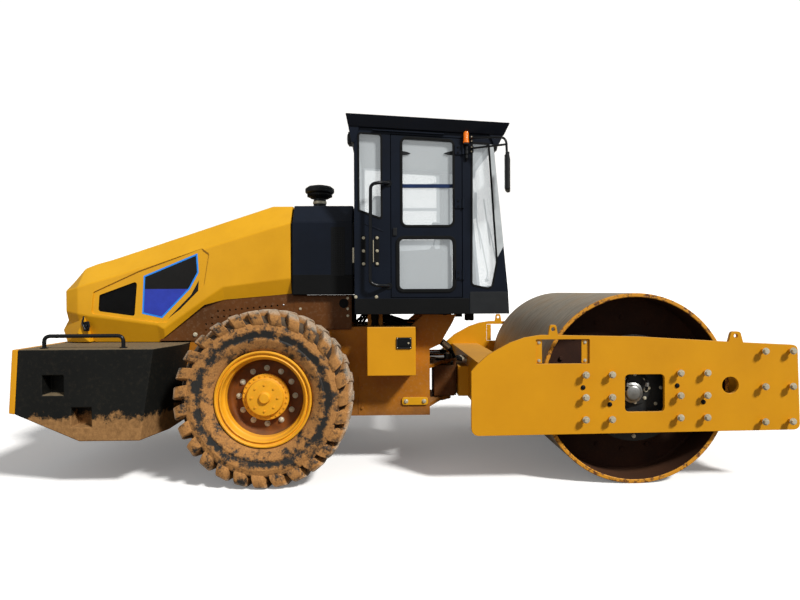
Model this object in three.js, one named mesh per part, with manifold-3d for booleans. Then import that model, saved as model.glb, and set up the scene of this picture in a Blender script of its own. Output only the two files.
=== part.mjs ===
// Single-drum road roller: a machine that rolls on one wide steel drum in front and two tyres behind.
// Millimetres. +X is forward, +Y is the machine's left, +Z is up, and the ground is at Z = 0.
// The pieces are drawn from the rear axle: X = 0 is the axle's line and Y = 0 the middle plane.
import * as THREE from 'three';
import { mergeVertices } from 'three/addons/utils/BufferGeometryUtils.js';
import { ConvexGeometry } from 'three/addons/geometries/ConvexGeometry.js';
import Module from 'manifold-3d';

const wasm = await Module();
wasm.setup();

// ---------------------------------------------------------------------------- driving dimensions

// Chassis
const wheelbase = 2970;            // rear axle to drum axle
const hitchX = 1510;               // steering pivot, ahead of the rear axle
const hitchZ = 710;                // height of the oscillation shaft

// Drum
const drumRadius = 765;
const drumWidth = 2130;
const drumShell = 32;
const drumDiscInset = 290;         // from the drum's edge to its end disc
const drumDiscThickness = 30;
const drumSegments = 48;

// Tyres and rims
const tyreRadius = 705;
const tyreWidth = 480;
const wheelTrack = 1740;           // between the middles of the two tyres
const rimRadius = 383;             // rim flange
const rimWidth = 406;
const wheelSegments = 32;

// Front frame
const plateHalfWidth = 1150;       // middle plane to the outer face of a side plate
const plateThickness = 30;
const plateRear = wheelbase - 1333;
const plateFront = wheelbase + 1289;
const plateBottom = 416;
const plateTop = 1206;
const plateNoseTop = 1114;         // the plate's top at its front end

// Rear frame
const railHalfWidth = 485;         // middle plane to the outer face of a rear frame plate
const railThickness = 30;
const railFront = 1363;
const railTop = 1240;
const railBottom = 850;            // over the axle
const bellyBottom = 452;           // ahead of the tyres

// Counterweight
const weightHalfWidth = 1100;
const weightTop = 1115;
const weightBottom = 398;

// Hood and engine cover
const hoodHalfWidth = 550;
const hoodTopHalfWidth = 400;      // flat part between the two slanted edges
const hoodWall = 20;
const coverRear = 165;
const coverFront = 690;
const coverHalfWidth = 562;
const coverTop = 2318;
const coverBottom = 1526;

// Cab
const cabRear = 712;
const cabFront = 2018;
const cabHalfWidth = 760;
const cabBottom = 1360;
const cabWall = 40;
const roofHalfWidth = 840;
const roofRear = 648;
const roofRearTop = 3026;
const roofFront = 2012;
const roofFrontTop = 2948;
const doorRear = 1022;
const doorFront = 1618;
const doorBottom = 1503;
const doorThickness = 30;
const glassThickness = 6;

// Clearances
const seatGap = 0.3;               // between pieces that rest on one another
const pinClearance = 0.8;          // between a pin and its bore
const doorGap = 6;                 // round a closed door

const sides = { left: 1, right: -1 };

// ------------------------------------------------------------------------------------- materials

const paint = (color, roughness = 0.45, metalness = 0) =>
  new THREE.MeshStandardMaterial({ color, roughness, metalness });
const finishes = {
  yellow: () => paint(0xd9961a),
  dark: () => paint(0x1a2130),
  black: () => paint(0x1b1c1b, 0.6),
  steel: () => paint(0x8a8378, 0.4, 1),
  chrome: () => paint(0xd0d0d0, 0.15, 1),
  tyre: () => paint(0x3a332c, 0.9),
  glass: () => paint(0xc9d2d6, 0.05),
  seat: () => paint(0x2b2b2d, 0.8),
  plastic: () => paint(0x2a2c2f, 0.55),
};

// --------------------------------------------------------------------------------- making solids

// A closed three.js geometry as a manifold solid. A shape drawn inside out is turned round.
function solid(geometry) {
  const bare = geometry.index ? geometry.clone() : geometry;
  bare.deleteAttribute('normal');
  bare.deleteAttribute('uv');
  const merged = mergeVertices(bare, 1e-4);
  const vertProperties = new Float32Array(merged.attributes.position.array);
  const corners = merged.index.array;
  const triVerts = new Uint32Array(corners.length);
  let used = 0;
  for (let i = 0; i < corners.length; i += 3) {
    const [a, b, c] = corners.subarray(i, i + 3);
    if (a === b || b === c || c === a) continue;      // a sliver where a turned profile meets its axis
    triVerts.set([a, b, c], used);
    used += 3;
  }
  const faces = triVerts.slice(0, used);
  const made = new wasm.Manifold(new wasm.Mesh({ numProp: 3, vertProperties, triVerts: faces }));
  if (made.volume() > 0) return made;
  const turned = faces.map((_, i) => faces[i - (i % 3) + (2 - (i % 3))]);
  return new wasm.Manifold(new wasm.Mesh({ numProp: 3, vertProperties, triVerts: turned }));
}

const join = (...solids) => solids.flat().reduce((sum, next) => sum.add(next));
const cut = (body, ...tools) => tools.flat().reduce((rest, tool) => rest.subtract(tool), body);

// A box between two corners, given as ranges.
function box([x0, x1], [y0, y1], [z0, z1]) {
  const size = [x1 - x0, y1 - y0, z1 - z0].map(Math.abs);
  const middle = [(x0 + x1) / 2, (y0 + y1) / 2, (z0 + z1) / 2];
  return solid(new THREE.BoxGeometry(...size).translate(...middle));
}

// The convex solid round a set of corners.
const hull = (corners) => solid(new ConvexGeometry(corners.map((p) => new THREE.Vector3(...p))));

// An outline whose corners may be rounded: each point is [a, b] or [a, b, radius].
function outline(points, arcSteps = 3) {
  const flat = [];
  points.forEach(([a, b, radius = 0], i) => {
    const corner = new THREE.Vector2(a, b);
    if (radius === 0) {
      flat.push(corner);
      return;
    }
    const toward = (other) => new THREE.Vector2(other[0], other[1]).sub(corner).normalize();
    const before = toward(points.at(i - 1));
    const after = toward(points[(i + 1) % points.length]);
    const half = before.angleTo(after) / 2;
    const reach = radius / Math.tan(half);
    const centre = before.clone().add(after).normalize().multiplyScalar(radius / Math.sin(half));
    const from = before.multiplyScalar(reach).sub(centre);
    const to = after.multiplyScalar(reach).sub(centre);
    const turn = Math.atan2(from.cross(to), from.dot(to));
    for (let step = 0; step <= arcSteps; step += 1) {
      const spoke = from.clone().rotateAround(new THREE.Vector2(), (turn * step) / arcSteps);
      flat.push(corner.clone().add(centre).add(spoke));
    }
  });
  return flat;
}

// The same outline drawn a wall's thickness further in (or out, if the distance is negative).
function inset(points, distance) {
  const area = THREE.ShapeUtils.area(points.map(([a, b]) => new THREE.Vector2(a, b)));
  const inward = Math.sign(area) * distance;
  return points.map(([a, b], i) => {
    const here = new THREE.Vector2(a, b);
    const before = here.clone().sub(new THREE.Vector2(...points.at(i - 1).slice(0, 2))).normalize();
    const after = new THREE.Vector2(...points[(i + 1) % points.length].slice(0, 2)).sub(here).normalize();
    const normalBefore = new THREE.Vector2(-before.y, before.x);
    const normalAfter = new THREE.Vector2(-after.y, after.x);
    const miter = normalBefore.clone().add(normalAfter).normalize();
    const moved = here.add(miter.multiplyScalar(inward / miter.dot(normalAfter)));
    return [moved.x, moved.y];
  });
}

const extrude = (points, depth, arcSteps) => new THREE.ExtrudeGeometry(
  new THREE.Shape(outline(points, arcSteps)), { depth, bevelEnabled: false, steps: 1 });

// An outline of [x, z] points, as thick as the range in Y.
function sheetXZ(points, [y0, y1], arcSteps) {
  const geometry = extrude(points, Math.abs(y1 - y0), arcSteps);
  return solid(geometry.rotateX(Math.PI / 2).translate(0, Math.max(y0, y1), 0));
}

// An outline of [x, y] points, as thick as the range in Z.
function sheetXY(points, [z0, z1], arcSteps) {
  return solid(extrude(points, z1 - z0, arcSteps).translate(0, 0, z0));
}

// An outline of [y, z] points, as thick as the range in X.
function sheetYZ(points, [x0, x1], arcSteps) {
  const geometry = extrude(points, x1 - x0, arcSteps);
  const turn = new THREE.Matrix4().makeBasis(
    new THREE.Vector3(0, 1, 0), new THREE.Vector3(0, 0, 1), new THREE.Vector3(1, 0, 0));
  return solid(geometry.applyMatrix4(turn).translate(x0, 0, 0));
}

// A round bar between two points.
function bar(from, to, radius, segments = 16) {
  const a = new THREE.Vector3(...from);
  const b = new THREE.Vector3(...to);
  const along = b.clone().sub(a);
  const turn = new THREE.Quaternion().setFromUnitVectors(
    new THREE.Vector3(0, 1, 0), along.clone().normalize());
  const geometry = new THREE.CylinderGeometry(radius, radius, along.length(), segments);
  const middle = a.add(b).multiplyScalar(0.5);
  return solid(geometry.applyQuaternion(turn).translate(middle.x, middle.y, middle.z));
}

// A closed profile of [radius, y] points turned about a line along Y, with a flat face underneath.
function turned(profile, [x, z], segments) {
  const across = Math.cos(Math.PI / segments);
  const line = profile.map(([radius, y]) => new THREE.Vector2(radius / across, y));
  if (profile[0][0] > 0) line.push(line[0]);
  const geometry = new THREE.LatheGeometry(line, segments, Math.PI / segments);
  return solid(geometry.translate(x, 0, z));
}

// A bent tube that follows a line of points with round corners.
function tube(points, radius, bend, segments = 4) {
  const path = new THREE.CurvePath();
  const corners = points.map((p) => new THREE.Vector3(...p));
  let start = corners[0];
  for (let i = 1; i < corners.length - 1; i += 1) {
    const enter = corners[i].clone().add(corners[i - 1].clone().sub(corners[i]).setLength(bend));
    const leave = corners[i].clone().add(corners[i + 1].clone().sub(corners[i]).setLength(bend));
    path.add(new THREE.LineCurve3(start, enter));
    path.add(new THREE.QuadraticBezierCurve3(enter, corners[i], leave));
    start = leave;
  }
  path.add(new THREE.LineCurve3(start, corners.at(-1)));
  const steps = 5 * (points.length - 1);
  const ring = new THREE.Shape().absarc(0, 0, radius, 0, 2 * Math.PI);
  const geometry = new THREE.ExtrudeGeometry(
    ring, { steps, curveSegments: segments, extrudePath: path, bevelEnabled: false });
  return solid(geometry);
}

// ---------------------------------------------------------------------------------- the assembly

const roller = new THREE.Group();
const rearEnd = -1951;                                   // outer face of the rear plate, at its foot
roller.position.x = -(plateFront + rearEnd) / 2;         // the origin stands under the middle

function addPart(name, body, material) {
  const mesh = body.getMesh();
  const geometry = new THREE.BufferGeometry();
  geometry.setAttribute('position', new THREE.BufferAttribute(mesh.vertProperties, 3));
  geometry.setIndex(new THREE.BufferAttribute(mesh.triVerts, 1));
  geometry.computeVertexNormals();
  const part = new THREE.Mesh(geometry, material);
  part.name = name;
  roller.add(part);
}

// Both ends of a range on one side of the machine, from distances to the middle plane.
const across = (side, near, far) => [side * near, side * far].sort((a, b) => a - b);
const wide = (half) => [-half, half];

// ------------------------------------------------------------------------------------ rear frame

const weightFrontLean = (z) => 0.155 * (weightTop - z);  // the counterweight's front leans back downwards
const weightFrontX = (z) => -747 - weightFrontLean(z);
const wheelX = 0;
const axleZ = tyreRadius;

const topEar = [862, 892];                               // the hitch sits between two ears
const bottomEar = [520, 552];
const pinRadius = 45;
const earRadius = 92;
const steerZ = 945;                                      // height of the steering cylinders
const cylinderPin = [hitchX - 560, 170];                 // where a cylinder is pinned to the frame
const steerEye = [hitchX + 40, 205];                     // where its rod's eye lies
const smallPinRadius = 18;

const hornTop = 1345;
const mountHeight = cabBottom - seatGap;
const mountOuter = railHalfWidth - 35;                   // the cab's rubber mounts stand inside the plates

function rearFrame() {
  const rail = [
    [weightFrontX(railBottom) + seatGap, railBottom],
    [430, railBottom], [430, bellyBottom, 30], [railFront, bellyBottom],
    [railFront, 1040], [1453, 1081], [1560, 1262], [1600, hornTop], [1310, hornTop],
    [1190, railTop], [-640, railTop], [weightFrontX(weightTop) + seatGap, weightTop - 3],
  ];
  const rails = Object.values(sides).map((side) =>
    sheetXZ(rail, across(side, railHalfWidth - railThickness, railHalfWidth)));
  const between = wide(railHalfWidth - railThickness + 1);
  const nose = (z) => join(
    sheetXY([
      [860, between[0]], [railFront, between[0]], [hitchX, -earRadius], [hitchX, earRadius],
      [railFront, between[1]], [860, between[1]],
    ], z),
    bar([hitchX, 0, z[0]], [hitchX, 0, z[1]], earRadius, 24));
  const crossPlates = [
    box([700, 730], between, [bellyBottom + 20, railTop]),            // bulkhead behind the cab
    box([730, 1180], between, [railTop - 30, railTop]),               // deck under the cab
    box([-650, -550], between, [1050, engineBottom - seatGap]),       // engine bearers
    box([-200, -100], between, [1050, engineBottom - seatGap]),
    box([1440, 1560], between, [hornTop - 35, hornTop]),              // front cab support
    nose(topEar),
    nose(bottomEar),
  ];
  const mounts = Object.values(sides).flatMap((side) => [
    box([812, 945], across(side, railHalfWidth - 125, mountOuter), [railTop - 5, mountHeight]),
    box([1440, 1560], across(side, railHalfWidth - 155, mountOuter), [hornTop - 5, mountHeight]),
  ]);
  const cylinderPins = Object.values(sides).map((side) => bar(
    [cylinderPin[0], side * cylinderPin[1], topEar[1] - 5],
    [cylinderPin[0], side * cylinderPin[1], steerZ + 40], smallPinRadius));
  const pinHole = bar([hitchX, 0, bottomEar[0] - 10], [hitchX, 0, topEar[1] + 10],
    pinRadius + pinClearance, 24);
  return cut(join(rails, crossPlates, mounts, cylinderPins), pinHole);
}

const engineBottom = 1130;
addPart('rear_frame', rearFrame(), finishes.yellow());

// The engine is closed in by the hood: one plain block.
addPart('engine_block', box([-1290, -110], wide(330), [engineBottom, 1740]), finishes.black());

// Counterweight: one casting, its near edges slanted back towards the tyres.
function counterweight() {
  const railY = (side) => side * (weightHalfWidth - 100);
  const corners = Object.values(sides).flatMap((side) => [
    [-1876, side * weightHalfWidth, weightTop],
    [-1908, side * weightHalfWidth, 613],
    [-1418, side * weightHalfWidth, weightBottom],
    [weightFrontX(weightBottom) - 92, side * weightHalfWidth, weightBottom],
    [weightFrontX(weightTop) - 92, side * weightHalfWidth, weightTop],
    [weightFrontX(weightTop), side * 700, weightTop],
    [weightFrontX(weightBottom), side * 700, weightBottom],
  ]);
  const pockets = Object.values(sides).flatMap((side) => [
    box([-1695, -1532], across(side, weightHalfWidth - 130, weightHalfWidth + 10), [759, 913]),
    box([-1475, -1321], across(side, weightHalfWidth - 130, weightHalfWidth + 10), [508, 661]),
  ]);
  const handrails = Object.values(sides).map((side) => tube([
    [-1727, railY(side), weightTop - 10], [-1727, railY(side), weightTop + 97],
    [-1109, railY(side), weightTop + 97], [-1109, railY(side), weightTop - 10]], 15, 45));
  return join(cut(hull(corners), pockets), handrails);
}
addPart('counterweight', counterweight(), finishes.black());

const rearLean = (1908 - 1876) / (weightTop - 613);      // the rear face leans back downwards
const rearFaceX = (z) => -1876 - rearLean * (weightTop - z);
addPart('rear_plate', sheetXZ([
  [rearFaceX(weightTop) - seatGap, weightTop], [rearFaceX(613) - seatGap, 613],
  [rearEnd, 620], [rearEnd + rearLean * (weightTop - 620), weightTop],
], wide(weightHalfWidth)), finishes.yellow());

// Rear axle: a beam with its drive in the middle, hung under the frame plates.
function rearAxle() {
  const beam = turned([
    [0, -hubInner + seatGap], [125, -hubInner + seatGap], [105, -330], [150, -220], [215, -110],
    [215, 110], [150, 220], [105, 330], [125, hubInner - seatGap], [0, hubInner - seatGap],
  ], [wheelX, axleZ], 20);
  const pads = Object.values(sides).map((side) =>
    box(wide(85), across(side, railHalfWidth - 55, railHalfWidth + 20), [axleZ, railBottom - seatGap]));
  return join(beam, pads);
}
const hubInner = 600;
addPart('rear_axle', rearAxle(), finishes.yellow());

// Wheels: a lathe-turned rim with its hub, and a tyre seated on it.
const wheelY = wheelTrack / 2;
function rim(side) {
  const flange = rimWidth / 2;
  const profile = [
    [0, hubInner - wheelY], [170, hubInner - wheelY], [170, 35], [298, 35], [298, -flange],
    [rimRadius, -flange], [rimRadius, -flange + 18], [tyreBore, -flange + 30], [tyreBore, flange - 30],
    [rimRadius, flange - 18], [rimRadius, flange], [330, flange], [298, 60], [180, 60],
    [180, 95], [140, 95], [140, 130], [0, 130],
  ];
  return turned(profile.map(([r, y]) => [r, side * (wheelY + y)]), [wheelX, axleZ], wheelSegments);
}
function tyre(side) {
  const half = tyreWidth / 2;
  const bead = rimWidth / 2 - 32;
  const bore = tyreBore + pinClearance;
  const wall = rimRadius + 2;
  const profile = [
    [bore, -bead], [bore, bead], [wall, bead], [400, half - 24], [520, half], [640, half],
    [tyreRadius - 22, half - 18], [tyreRadius, half - 50],
    [tyreRadius, 50 - half], [tyreRadius - 22, 18 - half], [640, -half], [520, -half],
    [400, 24 - half], [wall, -bead],
  ];
  return turned(profile.map(([r, y]) => [r, side * (wheelY + y)]), [wheelX, axleZ], wheelSegments);
}
const tyreBore = 342;
for (const [name, side] of Object.entries(sides)) {
  addPart(`rim_${name}`, rim(side), finishes.yellow());
  addPart(`tyre_${name}`, tyre(side), finishes.tyre());
}

// Skirts: perforated panels under the hood, and the plain panel that carries on under the engine cover.
const skirtThickness = 14;
for (const [name, side] of Object.entries(sides)) {
  const skirt = [
    [-1010, weightTop + 15], [-600, 1462], [-440, 1500], [coverRear - 25, 1550], [coverRear - 5, 1520],
    [672, 1520], [672, 1218, 20], [300, 1218], [250, 1130], [-640, 1130],
  ];
  const inner = railHalfWidth + seatGap;
  addPart(`engine_skirt_${name}`, sheetXZ(skirt, across(side, inner, inner + skirtThickness)),
    finishes.yellow());
}

// Boxes on the frame under the cab: batteries on the right, hydraulic oil on the left.
const boxInner = railHalfWidth + seatGap;
const boxOuter = 750;
const boxRanges = [[815, 1222], [841, 1249]];
const latch = join(box([1061, 1189], across(-1, boxOuter - 1, boxOuter + 12), [1067, 1164]));
const batteryBox = box(boxRanges[0], across(-1, boxInner, boxOuter), boxRanges[1]);
addPart('battery_box', join(batteryBox, latch), finishes.yellow());
const filler = bar([900, 620, boxRanges[1][1] - 5], [900, 620, boxRanges[1][1] + 40], 45, 20);
addPart('hydraulic_tank', join(box(boxRanges[0], across(1, boxInner, boxOuter), boxRanges[1]), filler),
  finishes.yellow());

// --------------------------------------------------------------------------- hood and engine cover

const hoodHinge = [coverRear - seatGap - 12, coverTop - 12];     // [x, z] of the hinge line
const hoodFront = hoodHinge[0] - 4.5;
const hoodFoot = weightTop + seatGap;

// The hood's cross-sections from nose to front: [x, edge height, top height].
const hoodSections = [
  [-1812, 1590, 1640], [-1690, 1600, 1769], [-1448, 1670, 1846], [-27, 2101, coverTop],
  [hoodFront, 2150, coverTop],
];

// The hood's block, drawn a wall's thickness smaller for its inside.
function hoodBlock(wall) {
  const edge = wall * 1.2;
  const slices = hoodSections.map(([x, edgeZ, topZ], i) => {
    const at = i === 0 ? x + wall : x;
    return Object.values(sides).flatMap((side) => [
      [at, side * (hoodHalfWidth - wall), hoodFoot - wall],
      [at, side * (hoodHalfWidth - wall), edgeZ - edge / 2],
      [at, side * (hoodTopHalfWidth - wall / 2), topZ - wall],
    ]);
  });
  const blocks = slices.slice(1).map((slice, i) => hull([...slices[i], ...slice]));
  const chin = sheetXZ([
    [-1700, hoodFoot - wall], [-1831 + wall, hoodFoot - wall], [-1891 + wall * 1.3, hoodFoot + 111],
    [-1820 + wall, hoodFoot + 203], [-1700, hoodFoot + 215],
  ], wide(hoodHalfWidth - wall));
  return join(blocks, chin);
}

function hood() {
  const shell = cut(hoodBlock(0), hoodBlock(hoodWall));
  const frontMouth = box([hoodFront - hoodWall * 2, hoodFront + 50],
    wide(hoodHalfWidth - hoodWall), [hoodFoot, 2150 - hoodWall]);
  const arch = sheetXZ([
    [-1012, hoodFoot - 50], [-1012, hoodFoot], [-608, 1443], [-450, 1486], [hoodFront + 20, 1538],
    [hoodFront + 20, hoodFoot - 50],
  ], wide(hoodHalfWidth + 10));
  const windows = sheetXZ([
    [-1517, 1394, 12], [-1206, 1349, 12], [-1181, 1653, 12], [-1507, 1533, 12],
  ], wide(hoodHalfWidth + 10));
  const grille = box([-1900, -1750], wide(430), [1345, 1560]);
  const barrels = Object.values(sides).map((side) => bar(
    [hoodHinge[0], side * 180, hoodHinge[1]], [hoodHinge[0], side * 320, hoodHinge[1]], 12, 12));
  return join(cut(shell, frontMouth, arch, windows, grille), barrels);
}
addPart('hood', hood(), finishes.yellow());

// Mesh behind the hood's rear opening and side windows, as flat sheets inside the shell.
const meshWall = 6;
const noseInner = -1812 + hoodWall + seatGap;
addPart('rear_grille', box([noseInner, noseInner + meshWall], wide(470), [1325, 1572]), finishes.black());

// Engine cover between hood and cab, with the air intake on it.
function engineCover() {
  const section = [
    [-coverHalfWidth, coverBottom], [coverHalfWidth, coverBottom], [coverHalfWidth, 2160],
    [coverHalfWidth - 130, coverTop], [130 - coverHalfWidth, coverTop], [-coverHalfWidth, 2160],
  ];
  return sheetYZ(section, [coverRear, coverFront]);
}
addPart('engine_cover', engineCover(), finishes.dark());

const intakeX = 348;
const intakeFoot = coverTop + seatGap;
const intake = new THREE.LatheGeometry([
  [0, 0], [75, 0], [62, 12], [58, 130], [110, 150], [138, 175], [138, 205], [105, 250], [0, 258],
].map(([r, z]) => new THREE.Vector2(r, z)), 24).rotateX(Math.PI / 2).translate(intakeX, 0, intakeFoot);
addPart('air_intake', solid(intake), finishes.dark());

// --------------------------------------------------------------------------------------------- cab

const roofSlope = (roofFrontTop - roofRearTop) / (roofFront - roofRear);
const roofThickness = 92;
const roofUnder = (x) => roofRearTop - roofThickness + roofSlope * (x - roofRear);
const wallTop = (x) => roofUnder(x) - seatGap;
const screenFootX = 2008;
const screenFootZ = 1551;
const screenTopX = 1880;
const screenX = (z) => screenFootX + ((screenTopX - screenFootX) * (z - screenFootZ)) / (2850 - screenFootZ);

const screenHalfWidth = cabHalfWidth - 60;
const screenZ = [1600, 2790];                            // foot and top of the windscreen's opening
const rearPaneHalfWidth = cabHalfWidth - 120;
const rearPaneZ = [2330, 2860];

const cabSide = [
  [cabRear, cabBottom], [cabFront, cabBottom], [screenFootX, screenFootZ], [screenTopX, wallTop(screenTopX)],
  [cabRear, wallTop(cabRear)],
];
const doorTop = (x) => wallTop(x) - 45;
const doorOutline = (gap) => [
  [doorRear - gap, doorBottom - gap], [doorFront + gap, doorBottom - gap],
  [doorFront + gap, doorTop(doorFront) + gap], [doorRear - gap, doorTop(doorRear) + gap],
];
const paneCorner = 45;
const upperPane = [
  [doorRear + 90, 2103, paneCorner], [doorFront - 71, 2103, paneCorner],
  [doorFront - 71, doorTop(doorFront - 71) - 20, paneCorner],
  [doorRear + 90, doorTop(doorRear + 90) - 18, paneCorner],
];
const lowerPane = [
  [doorRear + 58, doorBottom + 58, paneCorner], [doorFront - 68, doorBottom + 58, paneCorner],
  [doorFront - 68, 2001, paneCorner], [doorRear + 58, 2001, paneCorner],
];
const paneTop = (x) => wallTop(x) - cabWall - 5;
const rearSidePane = [[752, 2235], [940, 2165], [940, paneTop(940)], [752, paneTop(752)]];
const frontSidePane = [[1700, 1605, 30], [1868, 1570, 40], [1912, 1800], [1845, 2790], [1706, 2798]];

function cabFrame() {
  const shell = cut(
    sheetXZ(cabSide, wide(cabHalfWidth)),
    sheetXZ(inset(cabSide, cabWall), wide(cabHalfWidth - cabWall)));
  const openings = [
    sheetXZ(doorOutline(doorGap), wide(cabHalfWidth + 10)),
    sheetXZ(rearSidePane, wide(cabHalfWidth + 10)),
    sheetXZ(frontSidePane, wide(cabHalfWidth + 10)),
  ];
  const screen = hull(Object.values(sides).flatMap((side) => screenZ.flatMap((z) => [
    [screenX(z) + 100, side * screenHalfWidth, z], [screenX(z) - 100, side * screenHalfWidth, z]])));
  const rearWindow = box([cabRear - 20, cabRear + cabWall + 20], wide(rearPaneHalfWidth), rearPaneZ);
  const handles = Object.values(sides).map((side) => tube([
    [1002, side * (cabHalfWidth - 10), 2459], [852, side * (cabHalfWidth + 75), 2420],
    [846, side * (cabHalfWidth + 75), 1622], [1002, side * (cabHalfWidth - 10), 1597]], 14, 60));
  const doorStop = Object.values(sides).map((side) => sheetXZ(
    inset(doorOutline(doorGap), 25), across(side, 0, cabHalfWidth)));
  const stopFrame = Object.values(sides).map((side) => sheetXZ(
    inset(doorOutline(doorGap), -12),
    across(side, cabHalfWidth - cabWall - 25, cabHalfWidth - cabWall + 2)));
  return cut(join(cut(shell, openings, screen, rearWindow), stopFrame, handles), doorStop);
}
addPart('cab_frame', cabFrame(), finishes.dark());

function cabRoof() {
  const slab = sheetXZ([
    [roofRear, roofRearTop], [roofFront, roofFrontTop], [roofFront - 75, roofUnder(roofFront - 75)],
    [roofRear + 18, roofUnder(roofRear + 18)],
  ], wide(roofHalfWidth));
  const lamps = Object.values(sides).flatMap((side) => [
    box([roofRear + 8, cabRear - 8], across(side, 560, 680), [2800, roofUnder(roofRear + 18) + 8]),
    box([screenTopX + 12, roofFront - 78], across(side, 560, 680), [2770, roofUnder(roofFront) + 12]),
  ]);
  return join(slab, lamps);
}
addPart('cab_roof', cabRoof(), finishes.dark());

// Doors hang on pins at their front edge. Each has one pane behind its two openings.
const hingeX = doorFront + doorGap + 4;
const knuckleRadius = 11;
const hingeY = cabHalfWidth + seatGap + knuckleRadius;
for (const [name, side] of Object.entries(sides)) {
  const outer = cabHalfWidth;
  const inner = outer - doorThickness;
  const leaf = cut(sheetXZ(doorOutline(0), across(side, inner, outer)),
    sheetXZ(upperPane, across(side, inner - 10, outer + 10)),
    sheetXZ(lowerPane, across(side, inner - 10, outer + 10)));
  const hinges = [1650, 2250, 2700].flatMap((z) => [
    bar([hingeX, side * hingeY, z], [hingeX, side * hingeY, z + 80], knuckleRadius, 12),
    box([doorFront - 60, doorFront - 1], across(side, outer - 1, outer + 10), [z, z + 80]),
    box([doorFront - 2, hingeX], across(side, outer + 1, outer + 10), [z, z + 80]),
  ]);
  addPart(`door_${name}`, join(leaf, hinges), finishes.dark());
  const [paneRear, paneFront] = [doorRear + 38, doorFront - 48];
  const pane = [
    [paneRear, doorBottom + 38], [paneFront, doorBottom + 38],
    [paneFront, doorTop(paneFront) - 30], [paneRear, doorTop(paneRear) - 30],
  ];
  const paneY = across(side, inner - seatGap - glassThickness, inner - seatGap);
  addPart(`door_glass_${name}`, sheetXZ(pane, paneY), finishes.glass());
  const sidePaneY = across(side, cabHalfWidth - cabWall - seatGap - glassThickness,
    cabHalfWidth - cabWall - seatGap);
  addPart(`rear_side_glass_${name}`, sheetXZ([
    [753, 2205], [965, 2140], [965, paneTop(965) + 3], [753, paneTop(753) + 3]], sidePaneY),
    finishes.glass());
  addPart(`front_side_glass_${name}`, sheetXZ([
    [1680, 1560], [1905, 1560], [1935, 1800], [1830, 2810], [1680, 2820]], sidePaneY), finishes.glass());
}

// Windscreen and rear window, set into their openings.
const paneGap = 0.4;
const within = ([from, to]) => [from + paneGap, to - paneGap];
const screenCorners = Object.values(sides).flatMap((side) => within(screenZ).flatMap((z) =>
  [-30, glassThickness - 30].map((dx) => [screenX(z) + dx, side * (screenHalfWidth - paneGap), z])));
addPart('windscreen', hull(screenCorners), finishes.glass());
addPart('rear_window', box([cabRear + 12, cabRear + 12 + glassThickness],
  wide(rearPaneHalfWidth - paneGap), within(rearPaneZ)), finishes.glass());

// Inside the cab: seat, console and steering column stand on the floor.
const floor = cabBottom + cabWall + seatGap;
addPart('seat_base', join(
  box([1010, 1330], wide(200), [floor, 1640]),
  box([925, 1400], wide(235), [1640, 1700])), finishes.plastic());
const cushionFoot = 1700 + seatGap;
addPart('seat_cushion', sheetXZ([
  [1060, cushionFoot, 20], [1440, cushionFoot, 40], [1450, 1830, 50], [1048, 1805, 20]], wide(250)),
  finishes.seat());
addPart('seat_backrest', sheetXZ([
  [932, cushionFoot, 30], [1043, cushionFoot, 20], [962, 2470, 45], [850, 2470, 45]], wide(240)),
  finishes.seat());
addPart('console', sheetXZ([
  [980, floor], [1560, floor], [1560, 1860, 40], [1480, 1930, 30], [980, 1900, 30],
], [-500, -330]), finishes.plastic());
const wheelCentre = [1610, 0, 2120];
function steeringColumn() {
  const ring = new THREE.TorusGeometry(190, 14, 6, 24).rotateY(0.45).translate(...wheelCentre);
  const post = sheetXZ([
    [1600, floor], [1790, floor], [1750, 1900], [1645, 2130], [1590, 2110], [1650, 1880],
  ], wide(45));
  const spoke = new THREE.BoxGeometry(30, 384, 20).rotateY(0.45).translate(...wheelCentre);
  return join(post, solid(ring), solid(spoke));
}
addPart('steering_column', steeringColumn(), finishes.plastic());

// Mirrors on arms from the front posts.
for (const [name, side] of Object.entries(sides)) {
  const y = side * (cabHalfWidth + 190);
  const root = side * (cabHalfWidth + seatGap);
  const bend = side * (cabHalfWidth + 45);
  const upper = tube([[1700, root, 2830], [1700, bend, 2830], [1955, y, 2800], [1966, y, 2600]], 10, 30);
  const lower = tube([[1700, root, 2743], [1700, bend, 2743], [1966, y, 2743]], 9, 30);
  const head = box([1945, 1985], across(side, cabHalfWidth + 100, cabHalfWidth + 270), [2362, 2652]);
  addPart(`mirror_${name}`, join(upper, lower, head), finishes.black());
}

// -------------------------------------------------------------------- hitch and steering cylinders

const shaftRadius = 70;
const armTop = steerZ - 25;
const tongueRear = 1652;

// The hitch turns on a vertical pin in the rear frame and carries the lengthwise oscillation shaft.
function hitch() {
  const blockZ = [bottomEar[1] + 12, topEar[0] - 12];
  const block = box([hitchX - 80, hitchX + 110], wide(150), blockZ);
  const riser = box([hitchX + 108, hitchX + 132], wide(120), [blockZ[0], armTop]);
  const arms = sheetXY([
    [hitchX + 10, -245, 25], [hitchX + 132, -160], [hitchX + 132, 160], [hitchX + 10, 245, 25],
    [hitchX + 10, 150], [hitchX + 100, 110], [hitchX + 100, -110], [hitchX + 10, -150],
  ], [armTop - 20, armTop]);
  const pin = bar([hitchX, 0, bottomEar[0] - 10], [hitchX, 0, topEar[1] + 8], pinRadius, 24);
  const shaft = bar([hitchX + 100, 0, hitchZ], [tongueRear + 92, 0, hitchZ], shaftRadius, 32);
  return join(block, riser, arms, pin, shaft);
}
addPart('hitch', hitch(), finishes.yellow());

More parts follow.
